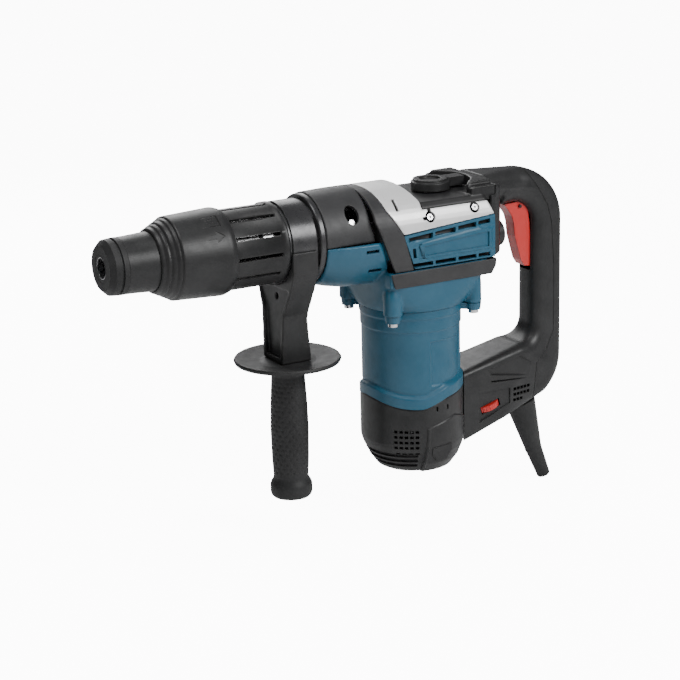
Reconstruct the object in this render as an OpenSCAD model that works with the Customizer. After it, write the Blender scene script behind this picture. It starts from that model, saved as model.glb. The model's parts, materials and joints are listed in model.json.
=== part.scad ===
// Electric combination hammer with a D-shaped rear handle and a swivelling side handle.
// The origin is on the spindle axis at the mouth of the tool bore. +X runs forward out of the
// tool holder, +Z is up, and the motor hangs below the gearbox on a vertical axis.

/* [Tool holder] */
// Diameter of the bore that takes an 18 mm splined shank
bore_d = 18.1; // [18.05:0.05:18.2]
// Diameter of the rubber dust cap
cap_d = 50; // [48:0.5:52]
// Rear diameter of the fixed front collar
collar_d = 52.4; // [51:0.2:53]
// Front diameter of the locking sleeve
sleeve_front_d = 74; // [72:0.5:76]
// Rear diameter of the locking sleeve
sleeve_rear_d = 79; // [78.5:0.5:82]
// How far the locking sleeve slides back
sleeve_travel = 10; // [6:0.5:11]

/* [Barrel] */
// Diameter of the slotted guard sleeve
guard_sleeve_d = 72; // [71:0.5:73]
// Number of slots round the guard sleeve
slot_count = 12; // [8:1:16]
// Width of each slot
slot_w = 2.6; // [2:0.2:4]
// Diameter of the barrel where the side handle clamps
barrel_d = 71; // [70:0.5:71]

/* [Side handle] */
// Distance of the side handle behind the mouth of the bore
side_handle_back = 176; // [175:0.5:177]
// Diameter of the hand guard disc
guard_disc_d = 98; // [80:1:98]
// Diameter of the side grip
side_grip_d = 33; // [30:0.5:36]
// Height of the underside of the side grip below the spindle axis
side_grip_bottom = 241; // [225:1:250]

/* [Gearbox] */
// Width of the gearbox over its side panels
gearbox_w = 101; // [98:1:106]
// Height of the gearbox crown above the spindle axis
crown_h = 41; // [40:0.5:43]
// Wall of the housings
wall = 3; // [2.5:0.1:3.2]

/* [Motor] */
// Distance of the motor axis behind the mouth of the bore
motor_back = 307; // [306:0.5:308]
// Diameter of the motor housing
motor_d = 92.6; // [92:0.2:94]
// Diameter of the lower motor cap
motor_cap_d = 97; // [96:0.5:99]
// Depth of the lower motor cap's base below the spindle axis
motor_bottom = 233; // [228:1:236]

/* [Rear handle] */
// Thickness of the upright grip of the rear handle, side to side
grip_w = 36; // [34:1:38]
// Width of the handle's lower link, side to side
link_w = 52; // [48:1:54]
// Diameter of the bore through the cord boot
cord_d = 8.2; // [7.8:0.2:9]

/* [Drive] */
// Throw of the crank
crank_throw = 13; // [11:0.5:13]
// Teeth on the armature pinion
pinion_teeth = 10; // [10:1:10]
// Teeth on the crank gear
crank_teeth = 34; // [34:1:34]
// Teeth on the intermediate gear
inter_teeth = 38; // [38:1:38]
// Teeth on the small pinion that drives the crown gear
crown_pinion_teeth = 8; // [8:1:8]
// Teeth on the crown gear
crown_teeth = 33; // [33:1:33]

/* [Hidden] */
$fn = 72;

// Small gaps: a running fit, a gap between parts of one body, and a cutter's overshoot
run_gap = 0.03;
gap = 0.3;
over = 1;
// Half the height of a cutter that must pass right through the tool
far = 90;

// Stations along the spindle axis, all behind the mouth of the bore
cap_rear_x = -16;
window_x = -34;
window_len = 16;
collar_rear_x = -62;
bore_rear_x = -52;
bore_end_x = -62;
holder_rear_x = -104;
sleeve_front_x = -44;
sleeve_rear_x = -112;
guard_front_x = -99;
guard_ring_x = -157;
barrel_front_x = -163;
band_front_x = -166;
band_rear_x = -190;
barrel_ring_x = -192;
housing_front_x = -197.5;
tube_rear_x = -246;
side_x = -side_handle_back;

// Radius of the relief behind the bore, which holds the drive keys
relief_r = 9.6;

// Gear sizes: module of the spur gears and centre distances that follow from the teeth
spur_m = 1;
pressure_a = 25;
motor_x = -motor_back;
crank_x = motor_x + spur_m * (pinion_teeth + crank_teeth) / 2;
inter_x = crank_x + spur_m * (crank_teeth + inter_teeth) / 2;
crown_pitch_r = 27;
crown_m = 2 * crown_pitch_r / crown_teeth;
crown_pinion_r = crown_m * crown_pinion_teeth / 2;
crown_pitch_x = inter_x + crown_pinion_r;
spur_top_z = -37;
spur_bottom_z = -41.5;
rod_len = 45;
pin_x = crank_x + rod_len;
disc_top_z = -8;
disc_bottom_z = -15;

// Gearbox
half_w = gearbox_w / 2;
deck_w = 88.6;
knob_x = -330;
knob_d = 36;
deck_z = 27;
deck_front_x = -294;
seam_z = -74;
gearbox_rear_x = -368.4;
rear_cover_x = -395;
// Half width and foot of the raised block that meets the handle's arm
block_half_w = 41;
block_rear_x = -374.6;
block_foot_z = 19;
boss_xs = [-264, -351];
boss_y = 40;
cover_screw_at = [[-300, 14], [-348, 17]];

// Motor
cap_top_z = -160;
fan_top_z = -72;
stator_top_z = -92;
stator_h = 52;
commutator_z = -178;

// Rear handle outline: centres and radii of its rounded corners
bar_rear_x = -472;
bar_front_x = -436;
arm_top_z = 38.5;
top_corner_r = 53;
low_corner_r = 50;
inner_top_r = 20;
inner_low_r = 18;
link_front_x = -345;
arm_front_x = -375;
arm_half_w = 26;
trigger_pivot = [-425, 1];
wheel_at = [-381, -186];
wheel_y = 14;

// ---------- helpers ----------
function arc(c, r, a0, a1, n) = [for (i = [0:n]) let (a = a0 + (a1 - a0) * i / n)
    [c[0] + r * cos(a), c[1] + r * sin(a)]];

// Involute gear outline. thin is taken off the tooth, add and ded are in modules.
function inv_angle(r, rb) = r <= rb ? 0 : sqrt(r * r / (rb * rb) - 1) * 180 / PI - acos(rb / r);
function flank(m, n, thin, rs) = let (rp = m * n / 2, rb = rp * cos(pressure_a),
    half = 90 / n - thin / rp * 90 / PI)
    [for (r = rs) [r, half + inv_angle(rp, rb) - inv_angle(r, rb)]];
function gear_points(m, n, thin, add, ded) = let (rp = m * n / 2,
    r0 = rp - ded * m, r1 = rp + add * m, rs = [for (i = [0:4]) r0 + (r1 - r0) * i / 4],
    f = flank(m, n, thin, rs))
    [for (k = [0:n - 1]) each concat(
        [for (p = f) [p[0] * cos(k * 360 / n - p[1]), p[0] * sin(k * 360 / n - p[1])]],
        [for (i = [4:-1:0]) [f[i][0] * cos(k * 360 / n + f[i][1]), f[i][0] * sin(k * 360 / n + f[i][1])]])];

// Solid of revolution about the spindle axis from points [radius, x]
module turned_x(points) rotate([0, 90, 0]) rotate_extrude() polygon(points);
// Cylinder and tube along X
module rod_x(x0, x1, r) translate([x0, 0, 0]) rotate([0, 90, 0]) cylinder(h = x1 - x0, r = r);
module tube_x(x0, x1, r_out, r_in) difference() {
    rod_x(x0, x1, r_out);
    rod_x(x0 - over, x1 + over, r_in);
}
// Cylinder and tube along Z at a place on the centre plane
module rod_z(x, z0, z1, r) translate([x, 0, z0]) cylinder(h = z1 - z0, r = r);
module tube_z(x, z0, z1, r_out, r_in) difference() {
    rod_z(x, z0, z1, r_out);
    rod_z(x, z0 - over, z1 + over, r_in);
}
// Prism along Y from a side outline [x, z], and along X from a section [y, z]
module side_prism(points, y0 = -far, y1 = far) translate([0, y1, 0]) rotate([90, 0, 0])
    linear_extrude(y1 - y0) polygon(points);
module section_prism(points, x0, x1) translate([x0, 0, 0]) rotate([90, 0, 90])
    linear_extrude(x1 - x0) polygon(points);
// Prism along Z from a plan outline given as points [x, y], first one side and then the other
module plan_prism(points, z0, z1) translate([0, 0, z0]) linear_extrude(z1 - z0) hull() polygon(points);
// Box from two corners
module span(a, b) translate(a) cube(b - a);
// Ball bearing ring stack about a vertical axis
module bearing_z(x, z0, z1, r_out, r_in) {
    race = (r_out - r_in) * 0.3;
    mid = (z0 + z1) / 2;
    tube_z(x, z0, z1, r_out, r_out - race);
    tube_z(x, z0, z1, r_in + race, r_in);
    tube_z(x, mid - 0.6, mid + 0.6, r_out - race + 0.1, r_in + race - 0.1);
}

// ---------- tool holder ----------
module dust_cap() color([0.09, 0.09, 0.1]) {
    r = cap_d / 2;
    turned_x([[12.6, 0.5], [19.9, 0.5], [r - 0.7, -4.2], [r - 0.2, -9], [r - 1.4, -9.6],
        [r - 1.4, -11], [r, -11.4], [r, cap_rear_x], [19, cap_rear_x], [17.2, -12], [12.6, -12]]);
}
module retaining_ring() color([0.6, 0.6, 0.6])
    tube_x(-15.4, -13.4, 16.4, 12.6);
module front_collar() color([0.13, 0.13, 0.14]) {
    r = collar_d / 2;
    turned_x([[17.1, cap_rear_x - 0.2], [r - 1.3, cap_rear_x - 0.2], [r - 1, -26], [r, -43],
        [r, collar_rear_x], [r - 2.2, collar_rear_x], [r - 3.2, -28], [17.1, -22]]);
}
module tool_holder() color([0.62, 0.62, 0.64]) {
    difference() {
        turned_x([[bore_d / 2, 0], [12.4, 0], [12.4, -15.6], [17, -16], [17, -96], [29, -96],
            [29, -100], [19.4, -100], [19.4, holder_rear_x], [13, holder_rear_x],
            [13, bore_end_x - 3], [relief_r, bore_end_x], [relief_r, bore_rear_x], [bore_d / 2, bore_rear_x]]);
        for (side = [-1, 1])
            span([window_x - window_len, min(side * 5, side * 20), -3.1],
                [window_x, max(side * 5, side * 20), 3.1]);
    }
    // Drive keys in the relief behind the bore
    for (a = [90, 270]) rotate([a, 0, 0])
        span([bore_end_x, 7.6, -2.2], [bore_rear_x - 1, relief_r + 1, 2.2]);
}
module locking_rollers() color([0.75, 0.75, 0.76])
    for (side = [-1, 1]) translate([window_x - window_len + 0.5, side * 12.6, 0])
        rotate([0, 90, 0]) cylinder(h = window_len - 1, r = 3);
module hammer_tube() color([0.78, 0.78, 0.8])
    difference() {
        turned_x([[10.25, holder_rear_x], [26, holder_rear_x], [28, -108], [28, -116],
            [25, -119], [25, -140], [28, -143], [28, -154], [19.5, -158],
            [19.5, tube_rear_x], [15.6, tube_rear_x], [15.6, -148], [10.25, -144]]);
        // Air ports
        for (a = [0:90:270]) rotate([a, 0, 0]) translate([-206, 0, 15]) cylinder(h = 8, r = 2);
    }
module crown_gear() color([0.55, 0.55, 0.57]) {
    root_x = crown_pitch_x + 1.75;
    tip_x = crown_pitch_x - 0.65 * crown_m;
    half_root = 1.85;
    half_tip = 0.55;
    tube_x(root_x, root_x + 6, 30, 19.5);
    for (k = [0:crown_teeth - 1]) rotate([(k + 0.5) * 360 / crown_teeth, 0, 0])
        translate([0, 0, -28.7]) linear_extrude(3.2)
            polygon([[root_x + 0.5, -half_root], [root_x + 0.5, half_root],
                [tip_x, half_tip], [tip_x, -half_tip]]);
}
module locking_sleeve() color([0.14, 0.14, 0.15]) {
    rf = sleeve_front_d / 2;
    rr = sleeve_rear_d / 2;
    rib_n = 4;
    rib_len = 4.2;
    step = (rf - 28.6) / rib_n;
    ribs = [for (i = [0:rib_n - 1]) each let (x = sleeve_front_x - i * rib_len, r = 28.6 + i * step)
        [[r - 1.2, x], [r, x - 0.8], [r + 0.6, x - 3], [r - 0.6, x - 3.9]]];
    turned_x(concat([[collar_d / 2 + gap, sleeve_front_x]], ribs,
        [[rf, sleeve_front_x - rib_n * rib_len], [rr - 0.3, sleeve_rear_x + 6],
        [rr - 0.6, sleeve_rear_x + 4], [rr - 2, sleeve_rear_x], [guard_sleeve_d / 2 + 0.8, sleeve_rear_x],
        [guard_sleeve_d / 2 + 0.8, -87], [33, -84], [33, collar_rear_x - 1],
        [collar_d / 2 + gap, collar_rear_x - 1]]));
}
module locking_ring() color([0.66, 0.66, 0.68])
    turned_x([[17.1, -30], [20.4, -30], [20.4, -63.2], [32.9, -63.2], [32.9, -67.2], [17.1, -67.2]]);
// Helical spring: a round wire swept along a coil, its ends in line with the coil
function helix(t, turns, r, x0, x1) = [x0 + (x1 - x0) * t, r * cos(360 * turns * t), r * sin(360 * turns * t)];
module sleeve_spring() color([0.7, 0.7, 0.72]) {
    turns = 5;
    wire = 1.1;
    steps = 16 * turns;
    sides = 8;
    points = [for (i = [0:steps]) let (t = i / steps, a = 360 * turns * t,
        c = helix(t, turns, 24.5, -69, -94.4))
        for (j = [0:sides - 1]) let (b = 360 * j / sides)
            c + [wire * sin(b), wire * cos(b) * cos(a), wire * cos(b) * sin(a)]];
    rings = [for (i = [0:steps - 1]) for (j = [0:sides - 1]) let (k = (j + 1) % sides)
        [i * sides + j, i * sides + k, (i + 1) * sides + k, (i + 1) * sides + j]];
    ends = [[for (j = [sides - 1:-1:0]) j], [for (j = [0:sides - 1]) steps * sides + j]];
    polyhedron(points, concat(rings, ends), convexity = 10);
}

// ---------- striking mechanism ----------
module striking_pin() color([0.7, 0.7, 0.72])
    turned_x([[0, -64], [6.2, -64], [7, -65], [7, -71], [8.6, -73], [8.6, -76], [12.6, -79], [12.6, -90],
        [10.2, -93], [10.2, -138], [8, -142], [0, -142]]);
module striker() color([0.66, 0.66, 0.68])
    turned_x([[0, -160], [9, -160], [11, -162], [15.5, -166], [15.5, -174], [14.6, -174.5],
        [14.6, -177.5], [15.5, -178], [15.5, -194], [13, -196], [0, -196]]);
module piston() color([0.72, 0.72, 0.74])
    difference() {
        turned_x([[0, pin_x + 25], [14.5, pin_x + 25], [15.55, pin_x + 23.5], [15.55, pin_x + 19],
            [14.4, pin_x + 18.7], [14.4, pin_x + 15.3], [15.55, pin_x + 15], [15.55, pin_x - 14],
            [0, pin_x - 14]]);
        // Fork for the connecting rod
        span([pin_x - 15, -10.5, -4.9], [pin_x + 9, 10.5, 4.9]);
        rod_z(pin_x, -far, far, 4);
    }
module wrist_pin() color([0.8, 0.8, 0.82])
    rod_z(pin_x, -13, 13, 4);
module connecting_rod() color([0.6, 0.6, 0.62])
    difference() {
        union() {
            rod_z(pin_x, -4.5, 4.5, 7.4);
            rod_z(crank_x, -4.5, 4.5, 9);
            span([crank_x + 4, -3.6, -4.5], [pin_x - 4, 3.6, 4.5]);
        }
        rod_z(pin_x, -5, 5, 4 + run_gap);
        rod_z(crank_x, -5, 5, 5);
    }
module crank_pin() color([0.8, 0.8, 0.82])
    rod_z(crank_x, disc_top_z + 0.5, 6, 5);

// ---------- gear train ----------
module crankshaft() color([0.6, 0.6, 0.62]) {
    difference() {
        rod_z(crank_x, disc_bottom_z, disc_top_z, 16.5);
        // Balance pockets
        for (a = [-35, 35]) translate([crank_x, 0, 0]) rotate(a) translate([10.5, 0, disc_bottom_z + 3])
            cylinder(h = 10, r = 3.2);
    }
    rod_z(crank_x, -57, disc_bottom_z, 7);
}
module crank_gear() color([0.5, 0.5, 0.52])
    translate([crank_x, 0, spur_bottom_z]) difference() {
        rotate(180 / crank_teeth) linear_extrude(spur_top_z - spur_bottom_z)
            polygon(gear_points(spur_m, crank_teeth, 0.12, 0.75, 1.2));
        translate([0, 0, -over]) cylinder(h = 20, r = 7);
        for (a = [0:60:300]) rotate(a + 30) translate([10.8, 0, -over]) cylinder(h = 20, r = 2.4);
    }
module intermediate_gear() color([0.5, 0.5, 0.52])
    translate([inter_x, 0, spur_bottom_z]) difference() {
        linear_extrude(spur_top_z - spur_bottom_z)
            polygon(gear_points(spur_m, inter_teeth, 0.12, 0.75, 1.2));
        translate([0, 0, -over]) cylinder(h = 20, r = 4);
    }
module crown_pinion() color([0.55, 0.55, 0.57]) {
    translate([inter_x, 0, -30.6]) linear_extrude(6.2)
        polygon(gear_points(crown_m, crown_pinion_teeth, 0.25, 0.7, 1.15));
    rod_z(inter_x, -43, -30.6, 4);
}
module armature_shaft() color([0.75, 0.75, 0.77]) {
    translate([motor_x, 0, -49]) linear_extrude(14)
        polygon(gear_points(spur_m, pinion_teeth, 0.12, 0.8, 1.15));
    rod_z(motor_x, -208, -49, 6);
}
module armature_core() color([0.45, 0.42, 0.4])
    difference() {
        union() {
            tube_z(motor_x, stator_top_z - 48, stator_top_z - 4, 23.6, 6);
            tube_z(motor_x, stator_top_z - 56, stator_top_z + 4, 19.5, 6);
        }
        for (a = [0:24:336]) translate([motor_x, 0, 0]) rotate(a)
            span([20.4, -1, stator_top_z - 60], [26, 1, stator_top_z + 6]);
    }
module commutator() color([0.75, 0.48, 0.3])
    difference() {
        tube_z(motor_x, commutator_z, commutator_z + 20, 13, 6);
        for (a = [0:15:345]) translate([motor_x, 0, 0]) rotate(a)
            span([12.2, -0.4, commutator_z - 1], [14, 0.4, commutator_z + 21]);
    }
module fan() color([0.16, 0.16, 0.17]) {
    tube_z(motor_x, fan_top_z - 12, fan_top_z - 2, 10, 6);
    tube_z(motor_x, fan_top_z - 4, fan_top_z - 2, 37, 9.5);
    for (a = [0:30:330]) translate([motor_x, 0, 0]) rotate(a) rotate([0, 0, 12])
        span([9.6, -0.8, fan_top_z - 12], [36.5, 0.8, fan_top_z - 2]);
}

// ---------- barrel ----------
module guard_sleeve() color([0.14, 0.14, 0.15]) {
    r = guard_sleeve_d / 2;
    difference() {
        turned_x([[33.4, guard_front_x], [r, guard_front_x], [r, guard_ring_x + 1], [r + 1.5, guard_ring_x],
            [r + 1.5, barrel_front_x + 1], [r + 0.5, barrel_front_x], [33.4, barrel_front_x]]);
        for (k = [0:slot_count - 1]) rotate([k * 360 / slot_count - 4, 0, 0])
            span([guard_ring_x + 1, 30, -slot_w / 2], [sleeve_rear_x - 1, 40, slot_w / 2]);
    }
}
module barrel() color([0.2, 0.2, 0.21]) {
    r = barrel_d / 2;
    turned_x([[31, barrel_front_x], [r - 1, barrel_front_x], [r, barrel_front_x - 1], [r, barrel_ring_x],
        [40, barrel_ring_x], [40.6, barrel_ring_x - 1], [40.6, housing_front_x + 1], [40, housing_front_x],
        [38.6, housing_front_x], [38.6, -207], [31, -207]]);
}
module spindle_bearings() color([0.7, 0.7, 0.72]) {
    for (x = [-182, -219.5]) {
        tube_x(x, x + 12, 31, 27);
        tube_x(x, x + 12, 23, 19.5 + run_gap);
        tube_x(x + 5, x + 7, 27.2, 22.8);
    }
    // Carrier of the rear bearing
    tube_x(-220, -207.2, 36, 31);
}

// ---------- gearbox ----------
// Half section of the gearbox across the spindle: a squared-off arch on straight flanks
function arch(d) = let (a = half_w - d, b = crown_h - d, e = 2 / 2.25, n = 14)
    concat([[half_w - 4 - d, seam_z - 2], [a, -47]],
        [for (i = [0:n]) let (t = 90 * i / n) [a * pow(cos(t), e), b * pow(sin(t), e)]],
        [for (i = [n - 1:-1:0]) let (t = 90 * i / n) [-a * pow(cos(t), e), b * pow(sin(t), e)]],
        [[-a, -47], [-(half_w - 4 - d), seam_z - 2]]);
// Side outline of the gearbox behind the groove; the inside is open to the front above the belly
function flank_front(d) = d > 0 ? [[-228, 50], [-228, -46.4], [-262 - d, -50]] : [[-243, 50], [-243, 16], [-262, -33]];
function flank_line(d) = concat(flank_front(d), [[-262 - d, seam_z + d],
    [-360 + d, seam_z + d], [-361 + d, -50], [-365 + d, -46], [gearbox_rear_x + d, -36],
    [gearbox_rear_x + d, 8.6 - d], [-362 + d, 24 - d], [-359 + d, deck_z - d], [deck_front_x + d, deck_z - d],
    [-281 + d, 50]]);
module gearbox_form(d) intersection() {
    section_prism(arch(d), gearbox_rear_x - over, -220);
    side_prism(flank_line(d));
}
module gearbox_shell() difference() {
    gearbox_form(0);
    gearbox_form(wall);
}
// Round front of the gearbox: its upper part, and its wider belly below the split
split_z = -2.8;
module nose_top_form() turned_x([[0, housing_front_x], [41.6, housing_front_x], [42.4, -222], [42.4, -246],
    [0, -246]]);
module belly_form(d) intersection() {
    turned_x([[0, housing_front_x], [42 - d, housing_front_x], [46 - d, -212], [49 - d, -228],
        [50 - d, -264], [0, -264]]);
    span([-270, -far, -far], [-190, far, split_z]);
}
groove_line = [[-243, 60], [-243, 16], [-247, -3], [-262.6, -33]];
strap_line = [[-249, 60], [-257, 24], [-271, 1.6], [-281, -32]];
module front_cover() color([0.2, 0.2, 0.21])
    difference() {
        intersection() {
            nose_top_form();
            side_prism([[housing_front_x + 1, 60], [housing_front_x + 1, split_z + 0.2],
                [-246.4, split_z + 0.2], [-242.4, 16], [-242.4, 60]]);
        }
        rod_x(-260, -190, 38.8);
        // Oval hole on each side
        for (side = [-1, 1]) translate([-226, side * 34, 23]) rotate([side * -56, 0, 0])
            linear_extrude(24, center = true) {
                square([9.2, 8], center = true);
                for (end = [-1, 1]) translate([0, end * 4]) circle(4.6);
            }
    }
module cover_strap() color([0.22, 0.22, 0.23])
    intersection() {
        gearbox_shell();
        side_prism([groove_line[0], groove_line[1], groove_line[2], groove_line[3],
            strap_line[3], strap_line[2], strap_line[1], strap_line[0]]);
        span([-300, -far, -32], [-230, far, far]);
    }
module deck_zone(extra) span([gearbox_rear_x - 5, -deck_w / 2 - extra, block_foot_z - extra],
    [deck_front_x + 0.5 + extra, deck_w / 2 + extra, far]);
module top_cover() color([0.85, 0.85, 0.86])
    difference() {
        intersection() {
            gearbox_shell();
            side_prism([strap_line[0] - [gap, 0], strap_line[1] - [gap, 0], strap_line[2] - [gap, 0],
                [gearbox_rear_x, 8.9], [gearbox_rear_x, 60]]);
        }
        deck_zone(0.2);
        // Slot in the crown and recesses of the cover screws
        for (side = [-1, 1]) rotate([side * -55, 0, 0]) span([-269.6, -6, 38], [-267, 6, 60]);
        for (side = [-1, 1]) for (p = cover_screw_at)
            translate([p[0], side * (half_w - 3.5), p[1]]) rotate([side * -68, 0, 0])
                cylinder(h = 30, r = 3.2, center = true);
    }
module top_deck() color([0.12, 0.12, 0.13])
    difference() {
        union() {
            intersection() {
                gearbox_shell();
                deck_zone(0);
            }
            // Raised block behind the knob
            side_prism([[-349, deck_z - 3], [block_rear_x, block_foot_z], [block_rear_x, 34], [-352, 34],
                [-349, 32]], -block_half_w, block_half_w);
            side_prism([[-349, deck_z], [block_rear_x, deck_z], [block_rear_x, arm_top_z - 0.5],
                [-353, arm_top_z - 0.5], [-349, 35]], -block_half_w + 7, block_half_w - 7);
            tube_z(knob_x, 12, deck_z - 0.5, 14, 10.2);
        }
        rod_z(knob_x, deck_z + 0.3, far, 37);
        rod_z(knob_x, 10, far, 10.2);
    }
panel_outline = [[-271, 0.6], [gearbox_rear_x, 8.3], [gearbox_rear_x, -31], [-282, -31]];
module side_panel(side) difference() {
    intersection() {
        side_prism(panel_outline);
        gearbox_form(0);
        span([-400, min(side * (half_w - 3.4), side * far), -far],
            [-250, max(side * (half_w - 3.4), side * far), far]);
    }
    // Cooling slots above and below the label field, and one at its front
    for (i = [0:3]) {
        x0 = [-276, -304, -328.5, -350][i];
        len = [24.5, 21, 19, 12][i];
        slope = 0.08;
        for (z = [-4.9 - slope * (x0 + 276), -29.2])
            span([x0 - len, min(side * 20, side * far), z], [x0, max(side * 20, side * far), z + 3]);
    }
    span([-282.6, min(side * 20, side * far), -20.4], [-280.4, max(side * 20, side * far), -12.4]);
    // Shallow label field
    span([-362, min(side * (half_w - 0.8), side * far), -22.6],
        [-286, max(side * (half_w - 0.8), side * far), -8.6]);
}
module left_panel() color([0.29, 0.49, 0.61]) side_panel(1);
module right_panel() color([0.29, 0.49, 0.61]) side_panel(-1);
strip_half_w = half_w + 1.6;
strip_rear_x = gearbox_rear_x - 1.6;
module bumper_strip() color([0.24, 0.24, 0.24])
    difference() {
        intersection() {
            side_prism([[-256, -32.6], [strip_rear_x, -32.6], [strip_rear_x, -37], [-364, -46.6], [-260, -46.6]]);
            plan_prism([for (side = [1, -1]) each [[-250, side * strip_half_w],
                [strip_rear_x + 1.8, side * strip_half_w], [strip_rear_x, side * (strip_half_w - 1.8)]]],
                -60, 0);
        }
        side_prism([[-240, 0], [gearbox_rear_x - 0.1, 0], [gearbox_rear_x - 0.1, -36.1], [-365.1, -46.1],
            [-361, -50.1], [-240, -60]], -half_w - 0.1, half_w + 0.1);
    }
module gear_housing() color([0.2, 0.42, 0.52])
    difference() {
        union() {
            // Belly in front of the groove
            intersection() {
                difference() {
                    belly_form(0);
                    belly_form(wall);
                }
                side_prism([[housing_front_x - 0.2, 0], [-245.6, 0], [-247, -3], [-263.8, -36],
                    [-263.8, -52], [housing_front_x - 0.2, -52]]);
            }
            // Flanks below the strip, and the inner wall behind the side panels
            intersection() {
                gearbox_shell();
                side_prism([[-262, -32.3], [gearbox_rear_x - 1, -32.3], [gearbox_rear_x - 1, -80], [-255, -80]]);
            }
            intersection() {
                difference() {
                    gearbox_form(3.6);
                    gearbox_form(wall + 3);
                }
                side_prism([[-258, -30], [gearbox_rear_x + 1, -30], [gearbox_rear_x + 1, 6], [-268, 6]]);
            }
            // Bosses of the motor screws
            for (x = boss_xs) for (side = [-1, 1])
                translate([x, side * boss_y, seam_z]) cylinder(h = 22, r = 7);
            // Flange that the motor bolts to
            tube_z(motor_x, seam_z, seam_z + 4, motor_d / 2 + 2, 41);
        }
        rod_z(motor_x, seam_z - over, seam_z + 10, 41);
        for (x = boss_xs) for (side = [-1, 1])
            translate([x, side * boss_y, seam_z - over]) cylinder(h = 20, r = 2.5);
        // Front air slots
        for (side = [-1, 1]) {
            span([-245, min(side * 30, side * far), -11], [-231, max(side * 30, side * far), -8]);
            span([-251, min(side * 30, side * far), -30.5], [-237.5, max(side * 30, side * far), -27.5]);
        }
    }
// Rounded back between the gearbox and the handle's arm
rear_plan = [[gearbox_rear_x - 0.2, 44.4], [-373, 43.4], [-381, 38], [-388, 29.5], [rear_cover_x, 17]];
module rear_cover() color([0.12, 0.12, 0.13])
    difference() {
        intersection() {
            plan_prism([for (side = [1, -1]) each [for (p = rear_plan) [p[0], side * p[1]]]], -32.4, 40);
            side_prism([[gearbox_rear_x - 0.2, -32.4], [-389, -32.4], [rear_cover_x, -28], [rear_cover_x, 6],
                [-393, 24], [-387, 31], [block_rear_x - 0.2, 34], [block_rear_x - 0.2, 25],
                [gearbox_rear_x - 0.2, 25]]);
        }
        // Clear of the raised block and of the handle's arm
        span([block_rear_x - 0.1, -block_half_w - 0.3, block_foot_z - 0.3],
            [-360, block_half_w + 0.3, far]);
        span([-400, -arm_half_w - gap, 12.1], [block_rear_x, arm_half_w + gap, far]);
        translate([-397, 0, -23]) rotate([0, 90, 0]) cylinder(h = 14, r = 9);
    }
module rear_cap() color([0.1, 0.1, 0.11])
    difference() {
        translate([0, 0, -23]) {
            rod_x(-406, rear_cover_x - 0.2, 12.6);
            rod_x(-396, -383.5, 8.9);
        }
        span([-407, -1.4, -23], [-403.5, 1.4, -8]);
    }
module gearbox_plate() color([0.72, 0.73, 0.74])
    difference() {
        union() {
            intersection() {
                side_prism([[-232, -31], [-340, -31], [-340, -36], [-232, -36]], -24, 24);
                rod_z(-286, -40, -30, 57);
            }
            rod_z(crank_x, -36, -17, 19);
            rod_z(motor_x, -62, -50, 39);
            for (a = [60, 180, 300]) translate([motor_x, 0, 0]) rotate(a)
                translate([31, 0, -50.5]) cylinder(h = 15, r = 5);
        }
        rod_z(crank_x, -far, 0, 16);
        rod_z(inter_x, -far, 0, 9);
        rod_z(motor_x, -48, -20, 12);
        rod_z(motor_x, -far, -48, 14);
    }
module gear_bearings() color([0.7, 0.7, 0.72]) {
    bearing_z(crank_x, -26, -18, 16, 7 + run_gap);
    bearing_z(crank_x, -35.8, -27.8, 16, 7 + run_gap);
    bearing_z(inter_x, -36, -31.5, 9, 4 + run_gap);
}
module armature_bearings() color([0.7, 0.7, 0.72]) {
    bearing_z(motor_x, -61, -52, 14, 6 + run_gap);
    bearing_z(motor_x, -207, -198, 13, 6 + run_gap);
}

// ---------- motor ----------
module motor_housing() color([0.2, 0.42, 0.52])
    difference() {
        union() {
            rod_z(motor_x, cap_top_z, seam_z - 0.1, motor_d / 2);
            rod_z(motor_x, cap_top_z, cap_top_z + 10, motor_cap_d / 2 + 0.4);
            rod_z(motor_x, seam_z - 6, seam_z - 0.1, motor_d / 2 + 2);
            for (x = boss_xs) for (side = [-1, 1])
                translate([x, side * boss_y, seam_z - 6]) cylinder(h = 5.9, r = 7);
        }
        rod_z(motor_x, cap_top_z - over, 0, motor_d / 2 - wall);
        for (x = boss_xs) for (side = [-1, 1])
            translate([x, side * boss_y, seam_z - 10]) cylinder(h = 20, r = 2.5);
    }
module stator() color([0.5, 0.5, 0.52])
    difference() {
        union() {
            tube_z(motor_x, stator_top_z - stator_h, stator_top_z, motor_d / 2 - wall, 31);
            // Pole shoes
            intersection() {
                tube_z(motor_x, stator_top_z - stator_h, stator_top_z, 32, 24.6);
                translate([motor_x, 0, 0]) union() {
                    span([-14, -40, stator_top_z - stator_h], [14, 40, stator_top_z]);
                }
            }
            // Field windings
            for (side = [-1, 1]) translate([motor_x, side * 28.2, stator_top_z - stator_h - 6])
                span([-20, -3, 0], [20, 3, stator_h + 10]);
        }
        rod_z(motor_x, -far * 2, 0, 24.6);
    }
module brush_carrier() color([0.3, 0.3, 0.32]) {
    tube_z(motor_x, commutator_z - 6, commutator_z - 2, motor_d / 2 - wall - 0.5, 20);
    for (side = [-1, 1]) translate([motor_x, 0, 0]) difference() {
        span([-7, min(side * 18, side * 40), commutator_z - 3], [7, max(side * 18, side * 40), commutator_z + 15]);
        span([-4, min(side * 17, side * 41), commutator_z + 2], [4, max(side * 17, side * 41), commutator_z + 12]);
    }
}
module carbon_brushes() color([0.15, 0.15, 0.15])
    for (side = [-1, 1]) translate([motor_x, 0, 0])
        span([-3.9, min(side * 13.2, side * 30), commutator_z + 2.1], [3.9, max(side * 13.2, side * 30), commutator_z + 11.9]);
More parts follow.
